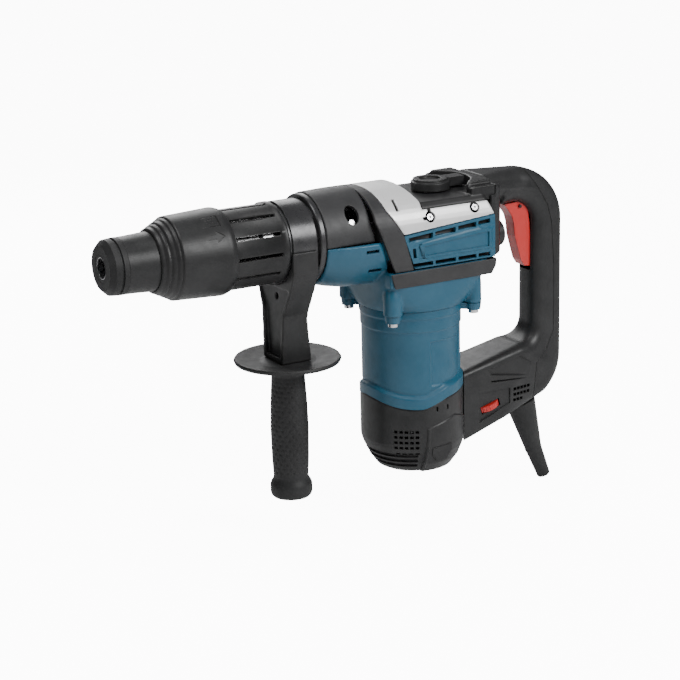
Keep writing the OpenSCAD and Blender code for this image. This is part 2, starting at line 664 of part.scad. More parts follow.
module motor_cap() color([0.12, 0.12, 0.13]) {
    r = motor_cap_d / 2;
    difference() {
        translate([motor_x, 0, 0]) rotate_extrude()
            polygon([[0, -motor_bottom], [34, -motor_bottom], [39, -motor_bottom + 4], [r - 1.5, -208],
                [r, -203], [r, cap_top_z - 0.1], [0, cap_top_z - 0.1]]);
        translate([motor_x, 0, 0]) rotate_extrude()
            polygon([[0, -motor_bottom + 4], [32, -motor_bottom + 4], [r - wall - 1.5, -206],
                [r - wall, -201], [r - wall, cap_top_z + over], [0, cap_top_z + over]]);
        // Air grid on the front quarters
        for (side = [-1, 1]) for (i = [0:4]) for (j = [0:3])
            translate([motor_x, 0, -183 - j * 4.6]) rotate(side * (62 - i * 7.6))
                span([30, -1.4, -1.3], [far, 1.4, 1.3]);
        // Slots towards the handle
        for (side = [-1, 1]) for (i = [0:3]) translate([motor_x, 0, -181 - i * 6]) rotate(side * 122)
            span([30, -2.4, -1.4], [far, 2.4, 1.4]);
    }
    // Seat of the lower armature bearing, on four ribs
    tube_z(motor_x, -motor_bottom + 3, -197, 16, 13);
    for (a = [45:90:315]) translate([motor_x, 0, 0]) rotate(a)
        span([15.5, -1.5, -motor_bottom + 3], [33, 1.5, -206]);
}
module housing_screws() color([0.8, 0.8, 0.8])
    for (x = boss_xs) for (side = [-1, 1]) translate([x, side * boss_y, 0]) {
        translate([0, 0, seam_z - 6]) cylinder(h = 22, r = 2.5);
        difference() {
            translate([0, 0, seam_z - 10]) cylinder(h = 4, r = 4.6);
            translate([0, 0, seam_z - 11]) cylinder(h = 3, r = 2, $fn = 6);
        }
    }
module case_screw() {
    difference() {
        cylinder(h = 2.6, r = 3);
        translate([0, 0, 1.2]) cylinder(h = 3, r = 1.3, $fn = 6);
    }
    translate([0, 0, -9]) cylinder(h = 9.1, r = 1.6);
}
handle_screw_at = [[-398, 24], [-462, -66], [-440, -168], [-366, -200]];
module case_screws() color([0.8, 0.8, 0.8]) {
    for (side = [-1, 1]) for (p = cover_screw_at)
        translate([p[0], side * (half_w - 3.5), p[1]]) rotate([side * -68, 0, 0]) translate([0, 0, -2]) case_screw();
    for (p = handle_screw_at)
        translate([p[0], -handle_half_w(p) + 3, p[1]]) rotate([90, 0, 0]) case_screw();
}

// ---------- selector ----------
module selector_knob() color([0.1, 0.1, 0.11])
    difference() {
        union() {
            rod_z(knob_x, deck_z + 1.4, 36, knob_d / 2);
            rod_z(knob_x, 36, 38.6, knob_d / 2 - 2);
            // Lever
            span([knob_x - 34, -7, deck_z + 2.4], [knob_x, 7, 38]);
        }
        rod_z(knob_x, 36.4, 50, 10);
        difference() {
            span([knob_x - 36, -9, 20], [knob_x - 28, 9, 50]);
            rod_z(knob_x, 10, 50, 34);
        }
        rod_z(knob_x, 20, 33, 6);
    }
module selector_shaft() color([0.7, 0.7, 0.72]) {
    rod_z(knob_x, 8, 33, 6);
    // Eccentric pin that shifts the clutch
    translate([knob_x + 3, 0, 2]) cylinder(h = 7, r = 2.2);
}

// ---------- rear handle ----------
// Outline of the handle, inset by d: outer line first, then back along the hand opening
function handle_line(d) = concat(
    [[arm_front_x - d, arm_top_z - d]],
    arc([bar_rear_x + top_corner_r, arm_top_z - top_corner_r], top_corner_r - d, 90, 180, 10),
    arc([bar_rear_x + low_corner_r, -148], low_corner_r - d, 180, 232, 8),
    [[-401, -200 + d], [link_front_x - d, -217 + d], [link_front_x - d, -148 - d]],
    arc([bar_front_x + inner_low_r, -113], inner_low_r + d, 270, 180, 6),
    arc([bar_front_x + inner_top_r, -14], inner_top_r + d, 180, 90, 6),
    [[-399, 6 + d], [-395.4 - d, 12.4 + d], [arm_front_x - d, 12.4 + d]]);
// Half width of the handle at a place on its side view
function handle_half_w(p) = p[1] < -125 ? (p[0] > -430 ? link_w / 2 : grip_w / 2)
    : (p[0] > -385 ? 26 : p[0] > -410 ? 22 : grip_w / 2);
module handle_plan(d, z0, z1, w_front, w_mid, w_rear, x_mid, x_rear) translate([0, 0, z0])
    linear_extrude(z1 - z0) polygon([[-340, w_front - d], [x_mid, w_mid - d], [x_rear, w_rear - d],
        [bar_rear_x + 4, w_rear - d], [bar_rear_x + d, w_rear - 6 - d], [bar_rear_x + d, -w_rear + 6 + d],
        [bar_rear_x + 4, -w_rear + d], [x_rear, -w_rear + d], [x_mid, -w_mid + d], [-340, -w_front + d]]);
module handle_form(d) intersection() {
    union() {
        side_prism(handle_line(d), -link_w / 2 + 6 + d, link_w / 2 - 6 - d);
        side_prism(handle_line(d + 3), -link_w / 2 + 2 + d, link_w / 2 - 2 - d);
        side_prism(handle_line(d + 6), -link_w / 2 + d, link_w / 2 - d);
    }
    union() {
        handle_plan(d, -125, 45, 26, 20, grip_w / 2, -402, -420);
        handle_plan(d, -220, -125 + 0.01, link_w / 2, link_w / 2 - 2, grip_w / 2, -425, -446);
    }
}
module grip_zone() side_prism([[-446, 60], [-446, 30], [-455, -10], [-455, -140], [-446, -170],
    [-446, -230], [-500, -230], [-500, 60]]);
module handle_half(side) difference() {
    intersection() {
        difference() {
            handle_form(0);
            handle_form(wall);
        }
        span([-500, min(0, side * far), -260], [-340, max(0, side * far), 60]);
    }
    // Seat of the soft pad
    intersection() {
        grip_zone();
        difference() {
            side_prism(handle_line(-5), -far, far);
            side_prism(handle_line(1.5), -far, far);
        }
    }
    // Seat of the motor cap, trigger pocket, thumbwheel window, boot seat
    rod_z(motor_x, -240, -130, motor_cap_d / 2 + 0.6);
    span([-452, -8.6, -63], [-404, 8.6, 9]);
    translate([wheel_at[0], wheel_y, wheel_at[1]]) rotate([0, 16, 0]) translate([0, 0, -3.9]) cylinder(h = 7.8, r = 14);
    boot_seat();
    // Air slots beside the switch
    for (i = [0:2]) translate([-415, 0, -172 - i * 5]) span([-10, min(side * 16, side * far), -1.3],
        [10, max(side * 16, side * far), 1.3]);
    if (side < 0) for (p = handle_screw_at)
        translate([p[0], -handle_half_w(p) + 3, p[1]]) rotate([90, 0, 0]) {
            cylinder(h = 20, r = 3.2);
            translate([0, 0, -12]) cylinder(h = 14, r = 1.6);
        }
}
module handle_left() color([0.1, 0.1, 0.11]) handle_half(1);
module handle_right() color([0.1, 0.1, 0.11]) handle_half(-1);
module grip_pad() color([0.13, 0.13, 0.14])
    intersection() {
        handle_form(0);
        grip_zone();
        difference() {
            side_prism(handle_line(-5), -far, far);
            side_prism(handle_line(1.5), -far, far);
        }
    }
module trigger() color([0.85, 0.2, 0.15])
    difference() {
        union() {
            side_prism([[-408, 4.4], [-412, -1], [-416.5, -8], [-418.6, -15], [-420, -28], [-427, -52],
                [-431, -58], [-437, -59],
                [-441, -56], [-437, -20], [-435, -4], [-431, 4], [-424, 5.4]], -7.6, 7.6);
            translate([trigger_pivot[0], 7.6, trigger_pivot[1]]) rotate([90, 0, 0]) cylinder(h = 15.2, r = 5);
        }
        translate([trigger_pivot[0], 20, trigger_pivot[1]]) rotate([90, 0, 0]) cylinder(h = 40, r = 1.53);
    }
module switch_module() color([0.25, 0.25, 0.27]) {
    span([-464, -10, -58], [-453, 10, -6]);
    span([-453.1, -4, -46], [-445.4, 4, -36]);
    // Pivot pin of the trigger
    translate([trigger_pivot[0], 9.4, trigger_pivot[1]]) rotate([90, 0, 0]) cylinder(h = 18.8, r = 1.5);
}
module thumbwheel() color([0.85, 0.2, 0.15])
    translate([wheel_at[0], wheel_y, wheel_at[1]]) rotate([0, 16, 0]) difference() {
        translate([0, 0, -2.6]) cylinder(h = 5.2, r = 12.8);
        for (a = [0:15:345]) rotate(a) translate([13.3, 0, -4]) cylinder(h = 8, r = 0.9);
        translate([0, 0, -4]) cylinder(h = 8, r = 2.5);
    }

// ---------- cord boot ----------
boot_at = [-431, -194];
boot_bend = [-447, -246];
boot_end = [-460, -277];
module boot_segment(a, b, r1, r2) {
    len = norm(b - a);
    tilt = atan2(b[0] - a[0], b[1] - a[1]);
    translate([a[0], 0, a[1]]) rotate([0, tilt, 0]) cylinder(h = len, r1 = r1, r2 = r2);
}
module boot_seat() boot_segment(boot_at, boot_bend, 15.4, 15.4);
module cord_boot() color([0.09, 0.09, 0.1])
    difference() {
        union() {
            boot_segment(boot_at, boot_bend, 15, 8.4);
            boot_segment(boot_bend, boot_end, 8.35, 6.6);
            translate([boot_bend[0], 0, boot_bend[1]]) sphere(r = 8.7);
        }
        boot_segment(boot_at - (boot_bend - boot_at) * 0.1, boot_bend + (boot_bend - boot_at) * 0.02, cord_d / 2,
            cord_d / 2);
        boot_segment(boot_bend, boot_end + (boot_end - boot_bend) * 0.1, cord_d / 2, cord_d / 2);
    }

// ---------- side handle ----------
module clamp_band() color([0.2, 0.2, 0.21]) {
    tube_x(band_rear_x, band_front_x, barrel_d / 2 + 1.5, barrel_d / 2 + run_gap);
    // Eye that the bolt pulls on
    difference() {
        span([side_x - 9, -8, -46], [side_x + 9, 8, -36.6]);
        rod_z(side_x, -60, -30, 4);
    }
}
module handle_bracket() color([0.16, 0.16, 0.17])
    difference() {
        side_prism([[side_x + 12, 0], [side_x + 12, -40], [side_x + 14, -70], [side_x + 15, -109],
            [side_x - 15, -109], [side_x - 11, -70], [side_x - 13, -40], [side_x - 13, 0]]);
        rod_x(-260, -100, barrel_d / 2 + 1.7);
        difference() {
            span([-260, -far, -200], [-100, far, 60]);
            section_prism([[-39.5, -3], [-39.5, -23], [-36, -30], [-21, -64], [-18, -109.5], [18, -109.5],
                [21, -64], [36, -30], [39.5, -23], [39.5, -3]], -260, -100);
        }
        // Pocket for the band's eye, bolt hole, cable hole and the recesses of the front face
        span([side_x - 9.4, -8.4, -46.4], [side_x + 9.4, 8.4, -30]);
        rod_z(side_x, -120, -40, 4.2);
        translate([side_x + 5, 3.5, -48]) rotate([0, 90, 0]) cylinder(h = 40, r = 2.75);
        section_prism([[-11, -90], [9, -90], [9, -83], [-11, -83]], side_x + 12.5, side_x + 40);
        section_prism([[-29, -39], [29, -39], [16, -62], [13.5, -104], [-13.5, -104], [-16, -62]],
            side_x + 10.8, side_x + 40);
    }
module guard_profile() {
    r = guard_disc_d / 2;
    translate([side_x, 0, 0]) rotate_extrude()
        polygon([[8, -109.2], [22, -109.2], [26, -110.6], [r - 4, -107.6], [r - 1, -107.4], [r, -109],
            [r - 1.4, -111.4], [26, -114], [22, -114.6], [19, -118], [18, -124], [8, -124]]);
}
module grip_bolt() color([0.7, 0.7, 0.72]) {
    rod_z(side_x, -228, -47, 3.9);
    difference() {
        rod_z(side_x, -232, -228, 6.4);
        translate([side_x, 0, -233]) cylinder(h = 3, r = 3, $fn = 6);
    }
}
module side_grip() color([0.11, 0.11, 0.12]) {
    r = side_grip_d / 2;
    b = -side_grip_bottom;
    difference() {
        union() {
            guard_profile();
            translate([side_x, 0, 0]) rotate_extrude()
                polygon([[3.9, -123], [r - 1, -123], [r - 1.4, -127], [r - 0.2, -150], [r + 0.4, -178],
                    [r - 0.6, -208], [r - 0.4, b + 18], [r + 1.4, b + 14], [r + 3, b + 12], [r + 3, b + 3],
                    [r + 1, b], [3.9, b]]);
        }
        rod_z(side_x, -234, -100, 4);
        rod_z(side_x, b - 1, -226, 8);
        // Rows of dimples, every other row turned by half a pitch
        for (row = [0:11]) for (k = [0:9]) translate([side_x, 0, -136 - row * 7])
            rotate((k + (row % 2) / 2) * 36) translate([r + 0.7, 0, 0]) rotate([0, 90, 0])
                cylinder(h = 3, r = 2.1, center = true, $fn = 16);
    }
}

dust_cap();
retaining_ring();
front_collar();
tool_holder();
locking_rollers();
hammer_tube();
crown_gear();
locking_sleeve();
locking_ring();
sleeve_spring();
striking_pin();
striker();
piston();
wrist_pin();
connecting_rod();
crank_pin();
crankshaft();
crank_gear();
intermediate_gear();
crown_pinion();
armature_shaft();
armature_core();
commutator();
fan();
guard_sleeve();
barrel();
spindle_bearings();
front_cover();
cover_strap();
top_cover();
top_deck();
left_panel();
right_panel();
bumper_strip();
gear_housing();
rear_cover();
rear_cap();
gearbox_plate();
gear_bearings();
armature_bearings();
motor_housing();
stator();
brush_carrier();
carbon_brushes();
motor_cap();
housing_screws();
case_screws();
selector_knob();
selector_shaft();
handle_left();
handle_right();
grip_pad();
trigger();
switch_module();
thumbwheel();
cord_boot();
clamp_band();
handle_bracket();
grip_bolt();
side_grip();
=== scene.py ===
import json
import math

import bmesh
import bpy
from mathutils import Matrix, Vector

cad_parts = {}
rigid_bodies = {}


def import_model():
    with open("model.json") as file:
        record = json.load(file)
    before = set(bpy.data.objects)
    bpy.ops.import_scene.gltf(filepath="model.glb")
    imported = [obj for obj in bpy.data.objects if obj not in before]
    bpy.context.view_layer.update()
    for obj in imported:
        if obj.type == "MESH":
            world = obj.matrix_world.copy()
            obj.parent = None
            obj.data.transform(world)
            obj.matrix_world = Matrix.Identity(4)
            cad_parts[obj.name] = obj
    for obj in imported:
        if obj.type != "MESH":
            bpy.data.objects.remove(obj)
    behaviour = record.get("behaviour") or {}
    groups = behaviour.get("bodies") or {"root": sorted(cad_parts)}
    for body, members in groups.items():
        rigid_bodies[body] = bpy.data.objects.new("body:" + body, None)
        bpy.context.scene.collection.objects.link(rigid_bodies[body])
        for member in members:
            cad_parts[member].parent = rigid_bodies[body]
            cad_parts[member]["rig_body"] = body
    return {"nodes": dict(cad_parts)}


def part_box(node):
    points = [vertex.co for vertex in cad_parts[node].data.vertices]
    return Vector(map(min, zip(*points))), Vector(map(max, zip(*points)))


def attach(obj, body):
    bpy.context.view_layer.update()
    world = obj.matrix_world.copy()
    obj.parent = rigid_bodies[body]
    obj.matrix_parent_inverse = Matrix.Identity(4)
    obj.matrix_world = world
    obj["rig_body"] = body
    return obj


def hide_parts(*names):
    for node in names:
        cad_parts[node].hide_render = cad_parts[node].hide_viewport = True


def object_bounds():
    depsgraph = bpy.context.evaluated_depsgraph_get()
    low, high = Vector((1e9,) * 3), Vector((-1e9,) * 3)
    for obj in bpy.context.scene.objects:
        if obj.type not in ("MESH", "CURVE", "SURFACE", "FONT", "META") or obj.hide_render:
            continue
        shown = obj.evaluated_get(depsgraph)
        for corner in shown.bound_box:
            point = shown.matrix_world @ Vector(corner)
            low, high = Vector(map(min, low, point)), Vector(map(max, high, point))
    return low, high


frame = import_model()
cad_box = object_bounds()

# Every length below is in millimetres in the frame of the CAD model, and meshes are scaled by MM.
MM = 0.001
SIDES = (1, -1)


def cad(node):
    """Lowest and highest corner of a CAD node, in millimetres."""
    lo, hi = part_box(node)
    return lo / MM, hi / MM


# ---------- camera, floor and light ----------
def camera():
    """The camera stands off the tool's front left, a little above it."""
    azimuth, elevation, roll = math.radians(29.4), math.radians(16.2), math.radians(-1.35)
    distance, aim = 1835, Vector((-231, 0, -101))
    back = Vector((
        math.sin(azimuth) * math.cos(elevation),
        math.cos(azimuth) * math.cos(elevation),
        math.sin(elevation),
    ))
    side = Vector((0, 0, 1)).cross(back).normalized()
    top = back.cross(side)
    right = side * math.cos(roll) + top * math.sin(roll)
    up = top * math.cos(roll) - side * math.sin(roll)
    data = bpy.data.cameras.new("camera")
    data.lens, data.sensor_width = 105.88, 36
    data.clip_start, data.clip_end = 0.05, 30
    ob = bpy.data.objects.new("camera", data)
    bpy.context.scene.collection.objects.link(ob)
    turn = Matrix((right, up, back)).transposed().to_4x4()
    ob.matrix_world = Matrix.Translation((aim + back * distance) * MM) @ turn
    bpy.context.scene.camera = ob


def area_light(name, place, aim, size, watts, colour=(1, 1, 1)):
    """A square soft box at place, in metres, turned to aim."""
    data = bpy.data.lights.new(name, "AREA")
    data.size, data.energy, data.color = size, watts, colour
    ob = bpy.data.objects.new(name, data)
    bpy.context.scene.collection.objects.link(ob)
    ob.location = place
    ob.rotation_mode = "QUATERNION"
    ob.rotation_quaternion = (Vector(aim) - Vector(place)).to_track_quat("-Z", "Y")


def studio():
    """Pale floor under the lowest point, a bright surround and three soft boxes."""
    world = bpy.data.worlds.new("studio")
    bpy.context.scene.world = world
    world.use_nodes = True
    tree = world.node_tree
    surround = tree.nodes["Background"]
    surround.inputs["Color"].default_value = (0.93, 0.96, 1, 1)
    surround.inputs["Strength"].default_value = 0.14
    backdrop = tree.nodes.new("ShaderNodeBackground")
    backdrop.inputs["Strength"].default_value = 16
    seen = tree.nodes.new("ShaderNodeMixShader")
    link(tree, tree.nodes.new("ShaderNodeLightPath").outputs["Is Camera Ray"], seen.inputs[0])
    link(tree, surround.outputs[0], seen.inputs[1])
    link(tree, backdrop.outputs[0], seen.inputs[2])
    link(tree, seen.outputs[0], tree.nodes["World Output"].inputs["Surface"])
    half, drop = 6, 0.0005
    z = cad_box[0].z - drop
    mesh = bpy.data.meshes.new("floor")
    mesh.from_pydata([(-half, -half, z), (half, -half, z), (half, half, z), (-half, half, z)],
                     [], [(0, 1, 2, 3)])
    floor = bpy.data.objects.new("floor", mesh)
    bpy.context.scene.collection.objects.link(floor)
    paper = bpy.data.materials.new("floor_paper")
    paper.use_nodes = True
    surface = paper.node_tree.nodes["Principled BSDF"]
    surface.inputs["Base Color"].default_value = (0.92, 0.92, 0.92, 1)
    surface.inputs["Roughness"].default_value = 0.85
    surface.inputs["Specular IOR Level"].default_value = 0.1
    tree = paper.node_tree
    glow = maths(tree, "MULTIPLY", tree.nodes.new("ShaderNodeLightPath").outputs["Is Camera Ray"], 11)
    surface.inputs["Emission Color"].default_value = (1, 1, 1, 1)
    link(tree, glow, surface.inputs["Emission Strength"])
    mesh.materials.append(paper)
    aim = (-0.22, 0, -0.09)
    area_light("key", (-0.75, 1.15, 0.75), aim, 0.6, 21)
    area_light("top", (0.1, 0.15, 1.4), aim, 0.7, 13)
    area_light("front", (1.3, 0.35, 0.3), aim, 0.5, 1.6)
    area_light("back", (-0.5, -1.3, 0.7), aim, 1.0, 13)


# ---------- materials ----------
def link(tree, source, target):
    tree.links.new(source, target)


def maths(tree, operation, a, b=None, clamp=False):
    """A Math node on sockets or numbers; returns its output."""
    n = tree.nodes.new("ShaderNodeMath")
    n.operation, n.use_clamp = operation, clamp
    for socket, value in zip(n.inputs, (a, b)):
        if value is None:
            continue
        if isinstance(value, (int, float)):
            socket.default_value = value
        else:
            link(tree, value, socket)
    return n.outputs[0]


def noise(tree, coordinates, scale, detail=3.0, rough=0.5):
    """Noise of that many cells per metre, from 0 to 1."""
    n = tree.nodes.new("ShaderNodeTexNoise")
    n.inputs["Scale"].default_value = scale
    n.inputs["Detail"].default_value = detail
    n.inputs["Roughness"].default_value = rough
    link(tree, coordinates, n.inputs["Vector"])
    return n.outputs["Fac"]


def cells(tree, coordinates, scale, feature="F1"):
    """Distance in Voronoi cells of that many per metre."""
    n = tree.nodes.new("ShaderNodeTexVoronoi")
    n.feature = feature
    n.inputs["Scale"].default_value = scale
    link(tree, coordinates, n.inputs["Vector"])
    return n.outputs["Distance"]


def mixed(tree, factor, a, b):
    """Mix of two colours by a socket; a and b are colours or sockets."""
    n = tree.nodes.new("ShaderNodeMix")
    n.data_type = "RGBA"
    link(tree, factor, n.inputs["Factor"])
    for socket, value in ((n.inputs[6], a), (n.inputs[7], b)):
        if isinstance(value, tuple):
            socket.default_value = (*value, 1)
        else:
            link(tree, value, socket)
    return n.outputs[2]


def lifted(colour, share):
    """The colour moved by a share towards white, or towards black when the share is negative."""
    return tuple(c + (1 - c) * share if share > 0 else c * (1 + share) for c in colour)


def finish(name, colour, rough, vary=0.16, grain=1400, grain_depth=0.035, leather=0, wear=0.25,
           worn=None, metallic=0.0, coat=0.0, edge=0.4, brushed=None, specular=0.5):
    """A procedural surface: mottled colour, uneven gloss, moulded or ground grain, and worn edges.
    grain is in cells per metre, grain_depth and edge in millimetres; brushed is the axis of turning lines."""
    m = bpy.data.materials.new(name)
    m.use_nodes = True
    tree = m.node_tree
    surface = tree.nodes["Principled BSDF"]
    where = tree.nodes.new("ShaderNodeTexCoord").outputs["Object"]
    broad = noise(tree, where, 38, 4.0, 0.62)
    fine = noise(tree, where, grain, 2.0, 0.6)
    handled = noise(tree, where, 120, 3.0, 0.55)

    # Rounded normal at the edges, and how far it leaves the surface's own
    bevel = tree.nodes.new("ShaderNodeBevel")
    bevel.samples = 4
    bevel.inputs["Radius"].default_value = edge * MM
    own = tree.nodes.new("ShaderNodeNewGeometry").outputs["Normal"]
    dot = tree.nodes.new("ShaderNodeVectorMath")
    dot.operation = "DOT_PRODUCT"
    link(tree, bevel.outputs[0], dot.inputs[0])
    link(tree, own, dot.inputs[1])
    at_edge = maths(tree, "SUBTRACT", 1.0, dot.outputs["Value"], True)
    at_edge = maths(tree, "MULTIPLY", at_edge, 5.0, True)
    patchy = maths(tree, "MULTIPLY", maths(tree, "SUBTRACT", handled, 0.38, True), 4.0, True)
    rubbed = maths(tree, "MULTIPLY", maths(tree, "MULTIPLY", at_edge, patchy, True), wear, True)

    shades = mixed(tree, broad, lifted(colour, -vary), lifted(colour, vary * 0.18))
    link(tree, mixed(tree, rubbed, shades, worn or lifted(colour, 0.3)), surface.inputs["Base Color"])

    spread = maths(tree, "MULTIPLY", maths(tree, "SUBTRACT", handled, 0.5), 0.22)
    gloss = maths(tree, "ADD", rough, spread)
    gloss = maths(tree, "ADD", gloss, maths(tree, "MULTIPLY", maths(tree, "SUBTRACT", fine, 0.5), 0.12))
    link(tree, maths(tree, "SUBTRACT", gloss, maths(tree, "MULTIPLY", rubbed, 0.12), True),
         surface.inputs["Roughness"])

    height = fine
    if leather:
        height = maths(tree, "ADD", maths(tree, "MULTIPLY", fine, 0.5), cells(tree, where, leather))
    if brushed is not None:
        stretch = tree.nodes.new("ShaderNodeMapping")
        stretch.inputs["Scale"].default_value = [1 if i == brushed else 0.03 for i in range(3)]
        link(tree, where, stretch.inputs["Vector"])
        height = maths(tree, "ADD", maths(tree, "MULTIPLY", fine, 0.4),
                       noise(tree, stretch.outputs[0], grain * 1.5, 2.0))
    bump = tree.nodes.new("ShaderNodeBump")
    bump.inputs["Strength"].default_value = 0.9
    bump.inputs["Distance"].default_value = grain_depth * MM
    link(tree, height, bump.inputs["Height"])
    link(tree, bevel.outputs[0], bump.inputs["Normal"])
    link(tree, bump.outputs[0], surface.inputs["Normal"])

    surface.inputs["Metallic"].default_value = metallic
    surface.inputs["Coat Weight"].default_value = coat
    surface.inputs["Coat Roughness"].default_value = 0.28
    surface.inputs["Specular IOR Level"].default_value = specular
    return m


RUBBER = (0.006, 0.006, 0.0065)
BLACK = (0.0068, 0.0068, 0.0073)
GREY = (0.019, 0.019, 0.0203)
BLUE = (0.003, 0.085, 0.15)
materials = {
    "black_rubber": finish("black_rubber", RUBBER, 0.55, grain=900, grain_depth=0.05, leather=700,
                           worn=(0.05, 0.05, 0.052), specular=0.3),
    "black_plastic": finish("black_plastic", BLACK, 0.4, grain=1500, grain_depth=0.025,
                            worn=(0.04, 0.04, 0.042), specular=0.3),
    "grey_plastic": finish("grey_plastic", GREY, 0.5, grain=1300, grain_depth=0.03,
                           worn=(0.08, 0.08, 0.083), specular=0.35),
    "blue_plastic": finish("blue_plastic", BLUE, 0.42, grain=1300, grain_depth=0.03,
                           worn=(0.03, 0.14, 0.21), specular=0.4),
    "red_plastic": finish("red_plastic", (0.58, 0.012, 0.007), 0.36, grain=1500, grain_depth=0.02,
                          worn=(0.75, 0.12, 0.09), coat=0.15),
    "silver_paint": finish("silver_paint", (0.8, 0.8, 0.8), 0.32, vary=0.08, grain=2400,
                           grain_depth=0.012, worn=(0.9, 0.9, 0.9), metallic=0.25, coat=0.2),
    "bright_steel": finish("bright_steel", (0.68, 0.68, 0.69), 0.24, vary=0.1, grain=1600,
                           grain_depth=0.012, metallic=1.0, brushed=0),
    "dark_steel": finish("dark_steel", (0.03, 0.03, 0.032), 0.3, vary=0.2, grain=1600,
                         grain_depth=0.012, worn=(0.12, 0.12, 0.12), metallic=0.4),
    "aluminium": finish("aluminium", (0.6, 0.61, 0.62), 0.42, vary=0.12, grain=1000,
                        grain_depth=0.04, metallic=1.0),
    "lamination": finish("lamination", (0.2, 0.17, 0.15), 0.45, grain=1500, metallic=0.8, brushed=2),
    "copper": finish("copper", (0.7, 0.33, 0.16), 0.3, grain=1400, metallic=1.0, brushed=2),
    "carbon": finish("carbon", (0.02, 0.02, 0.02), 0.6, grain=900, grain_depth=0.05),
}


# ---------- mesh tools ----------
def mesh_object(verts, faces):
    """A closed mesh from points in millimetres, its normals turned outwards."""
    mesh = bpy.data.meshes.new("form")
    bm = bmesh.new()
    points = [bm.verts.new(Vector(v) * MM) for v in verts]
    for face in faces:
        bm.faces.new([points[i] for i in face])
    bmesh.ops.recalc_face_normals(bm, faces=bm.faces)
    bm.to_mesh(mesh)
    bm.free()
    ob = bpy.data.objects.new("form", mesh)
    bpy.context.scene.collection.objects.link(ob)
    return ob


def prism(outline, axis, lo, hi, side=1):
    """A prism along an axis from an outline in the other two, in their order. side -1 mirrors it in y."""
    def at(p, level):
        x, y, z = {"x": (level, *p), "y": (p[0], level, p[1]), "z": (*p, level)}[axis]
        return (x, y * side, z)
    n = len(outline)
    verts = [at(p, level) for level in (lo, hi) for p in outline]
    walls = [(i, (i + 1) % n, n + (i + 1) % n, n + i) for i in range(n)]
    return mesh_object(verts, [tuple(range(n)), tuple(range(2 * n - 1, n - 1, -1)), *walls])


def block(lo, hi, side=1):
    """A box between two corners, used to cut or to build up a form."""
    return prism([(lo[0], lo[1]), (hi[0], lo[1]), (hi[0], hi[1]), (lo[0], hi[1])], "z", lo[2], hi[2], side)


def sweep(stations, sides=48):
    """A closed skin through circles, given as (centre, direction, radius); radius 0 closes an end."""
    verts, rings = [], []
    for centre, along, radius in stations:
        along = Vector(along).normalized()
        across = along.cross(Vector((0.02, 1, 0.03))).normalized()
        up = along.cross(across)
        count = sides if radius > 0 else 1
        rings.append([len(verts) + i for i in range(count)])
        for i in range(count):
            a = 2 * math.pi * i / sides
            verts.append(Vector(centre) + (across * math.cos(a) + up * math.sin(a)) * radius)
    faces = []
    for a, b in zip(rings, rings[1:]):
        for i in range(sides):
            j = (i + 1) % sides
            quad = [a[i % len(a)], a[j % len(a)], b[j % len(b)], b[i % len(b)]]
            faces.append(tuple(dict.fromkeys(quad)))
    return mesh_object(verts, faces)


def rod(a, b, r_a, r_b=None, sides=48):
    """A round bar or cone from a to b, closed at both ends."""
    along = Vector(b) - Vector(a)
    end = r_a if r_b is None else r_b
    return sweep([(a, along, 0), (a, along, r_a), (b, along, end), (b, along, 0)], sides)


def settle(ob):
    """Applies the modifiers of a mesh."""
    bpy.context.view_layer.update()
    mesh = bpy.data.meshes.new_from_object(ob.evaluated_get(bpy.context.evaluated_depsgraph_get()))
    ob.modifiers.clear()
    ob.data = mesh
    return ob


def combine(ob, operation, tools):
    """Cuts the tools out of a form, or joins them to it, one after another."""
    for tool in tools:
        m = ob.modifiers.new("combine", "BOOLEAN")
        m.operation, m.solver, m.object = operation, "MANIFOLD", tool
        settle(ob)
        bpy.data.objects.remove(tool)
    return ob


def together(forms):
    """Several forms that don't touch, as one."""
    forms = list(forms)
    bm = bmesh.new()
    for form in forms:
        bm.from_mesh(form.data)
    bm.to_mesh(forms[0].data)
    bm.free()
    for form in forms[1:]:
        bpy.data.objects.remove(form)
    return forms[0]


def copy_of(*nodes):
    """The mesh of CAD nodes as one new form, welded where faces meet."""
    mesh = bpy.data.meshes.new("form")
    bm = bmesh.new()
    for node in nodes:
        bm.from_mesh(frame["nodes"][node].data)
    bmesh.ops.remove_doubles(bm, verts=bm.verts, dist=2e-6)
    bm.to_mesh(mesh)
    bm.free()
    ob = bpy.data.objects.new("form", mesh)
    bpy.context.scene.collection.objects.link(ob)
    return ob


def round_off(ob, voxel, passes):
    """Rounds every edge of a form, as a mould does."""
    m = ob.modifiers.new("voxels", "REMESH")
    m.mode, m.voxel_size = "VOXEL", voxel * MM
    s = ob.modifiers.new("smooth", "SMOOTH")
    s.factor, s.iterations = 0.5, passes
    return settle(ob)


def piece(ob, name, slot, *nodes, body=None):
    """Finishes a form: name, surface, the body it rides on and the CAD nodes that it stands for."""
    ob.name = ob.data.name = name
    ob.data.materials.clear()
    ob.data.materials.append(materials[slot])
    if "custom_normal" in ob.data.attributes:
        ob.data.attributes.remove(ob.data.attributes["custom_normal"])
    ob.data.shade_smooth()
    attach(ob, body or frame["nodes"][nodes[0]]["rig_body"])
    if nodes:
        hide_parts(*nodes)
    return ob


def crisp(ob, angle=32):
    """Keeps edges above this angle sharp in the shading."""
    ob.data.set_sharp_from_angle(angle=math.radians(angle))
    return ob


def ramp(value, points):
    """Straight-line interpolation in a list of (position, value)."""
    if value <= points[0][0]:
        return points[0][1]
    for (a, low), (b, high) in zip(points, points[1:]):
        if value <= b:
            return low + (high - low) * (value - a) / (b - a)
    return points[-1][1]


def step(value, a, b):
    """0 below a, 1 above b, smooth between."""
    t = min(max((value - a) / (b - a), 0), 1)
    return t * t * (3 - 2 * t)


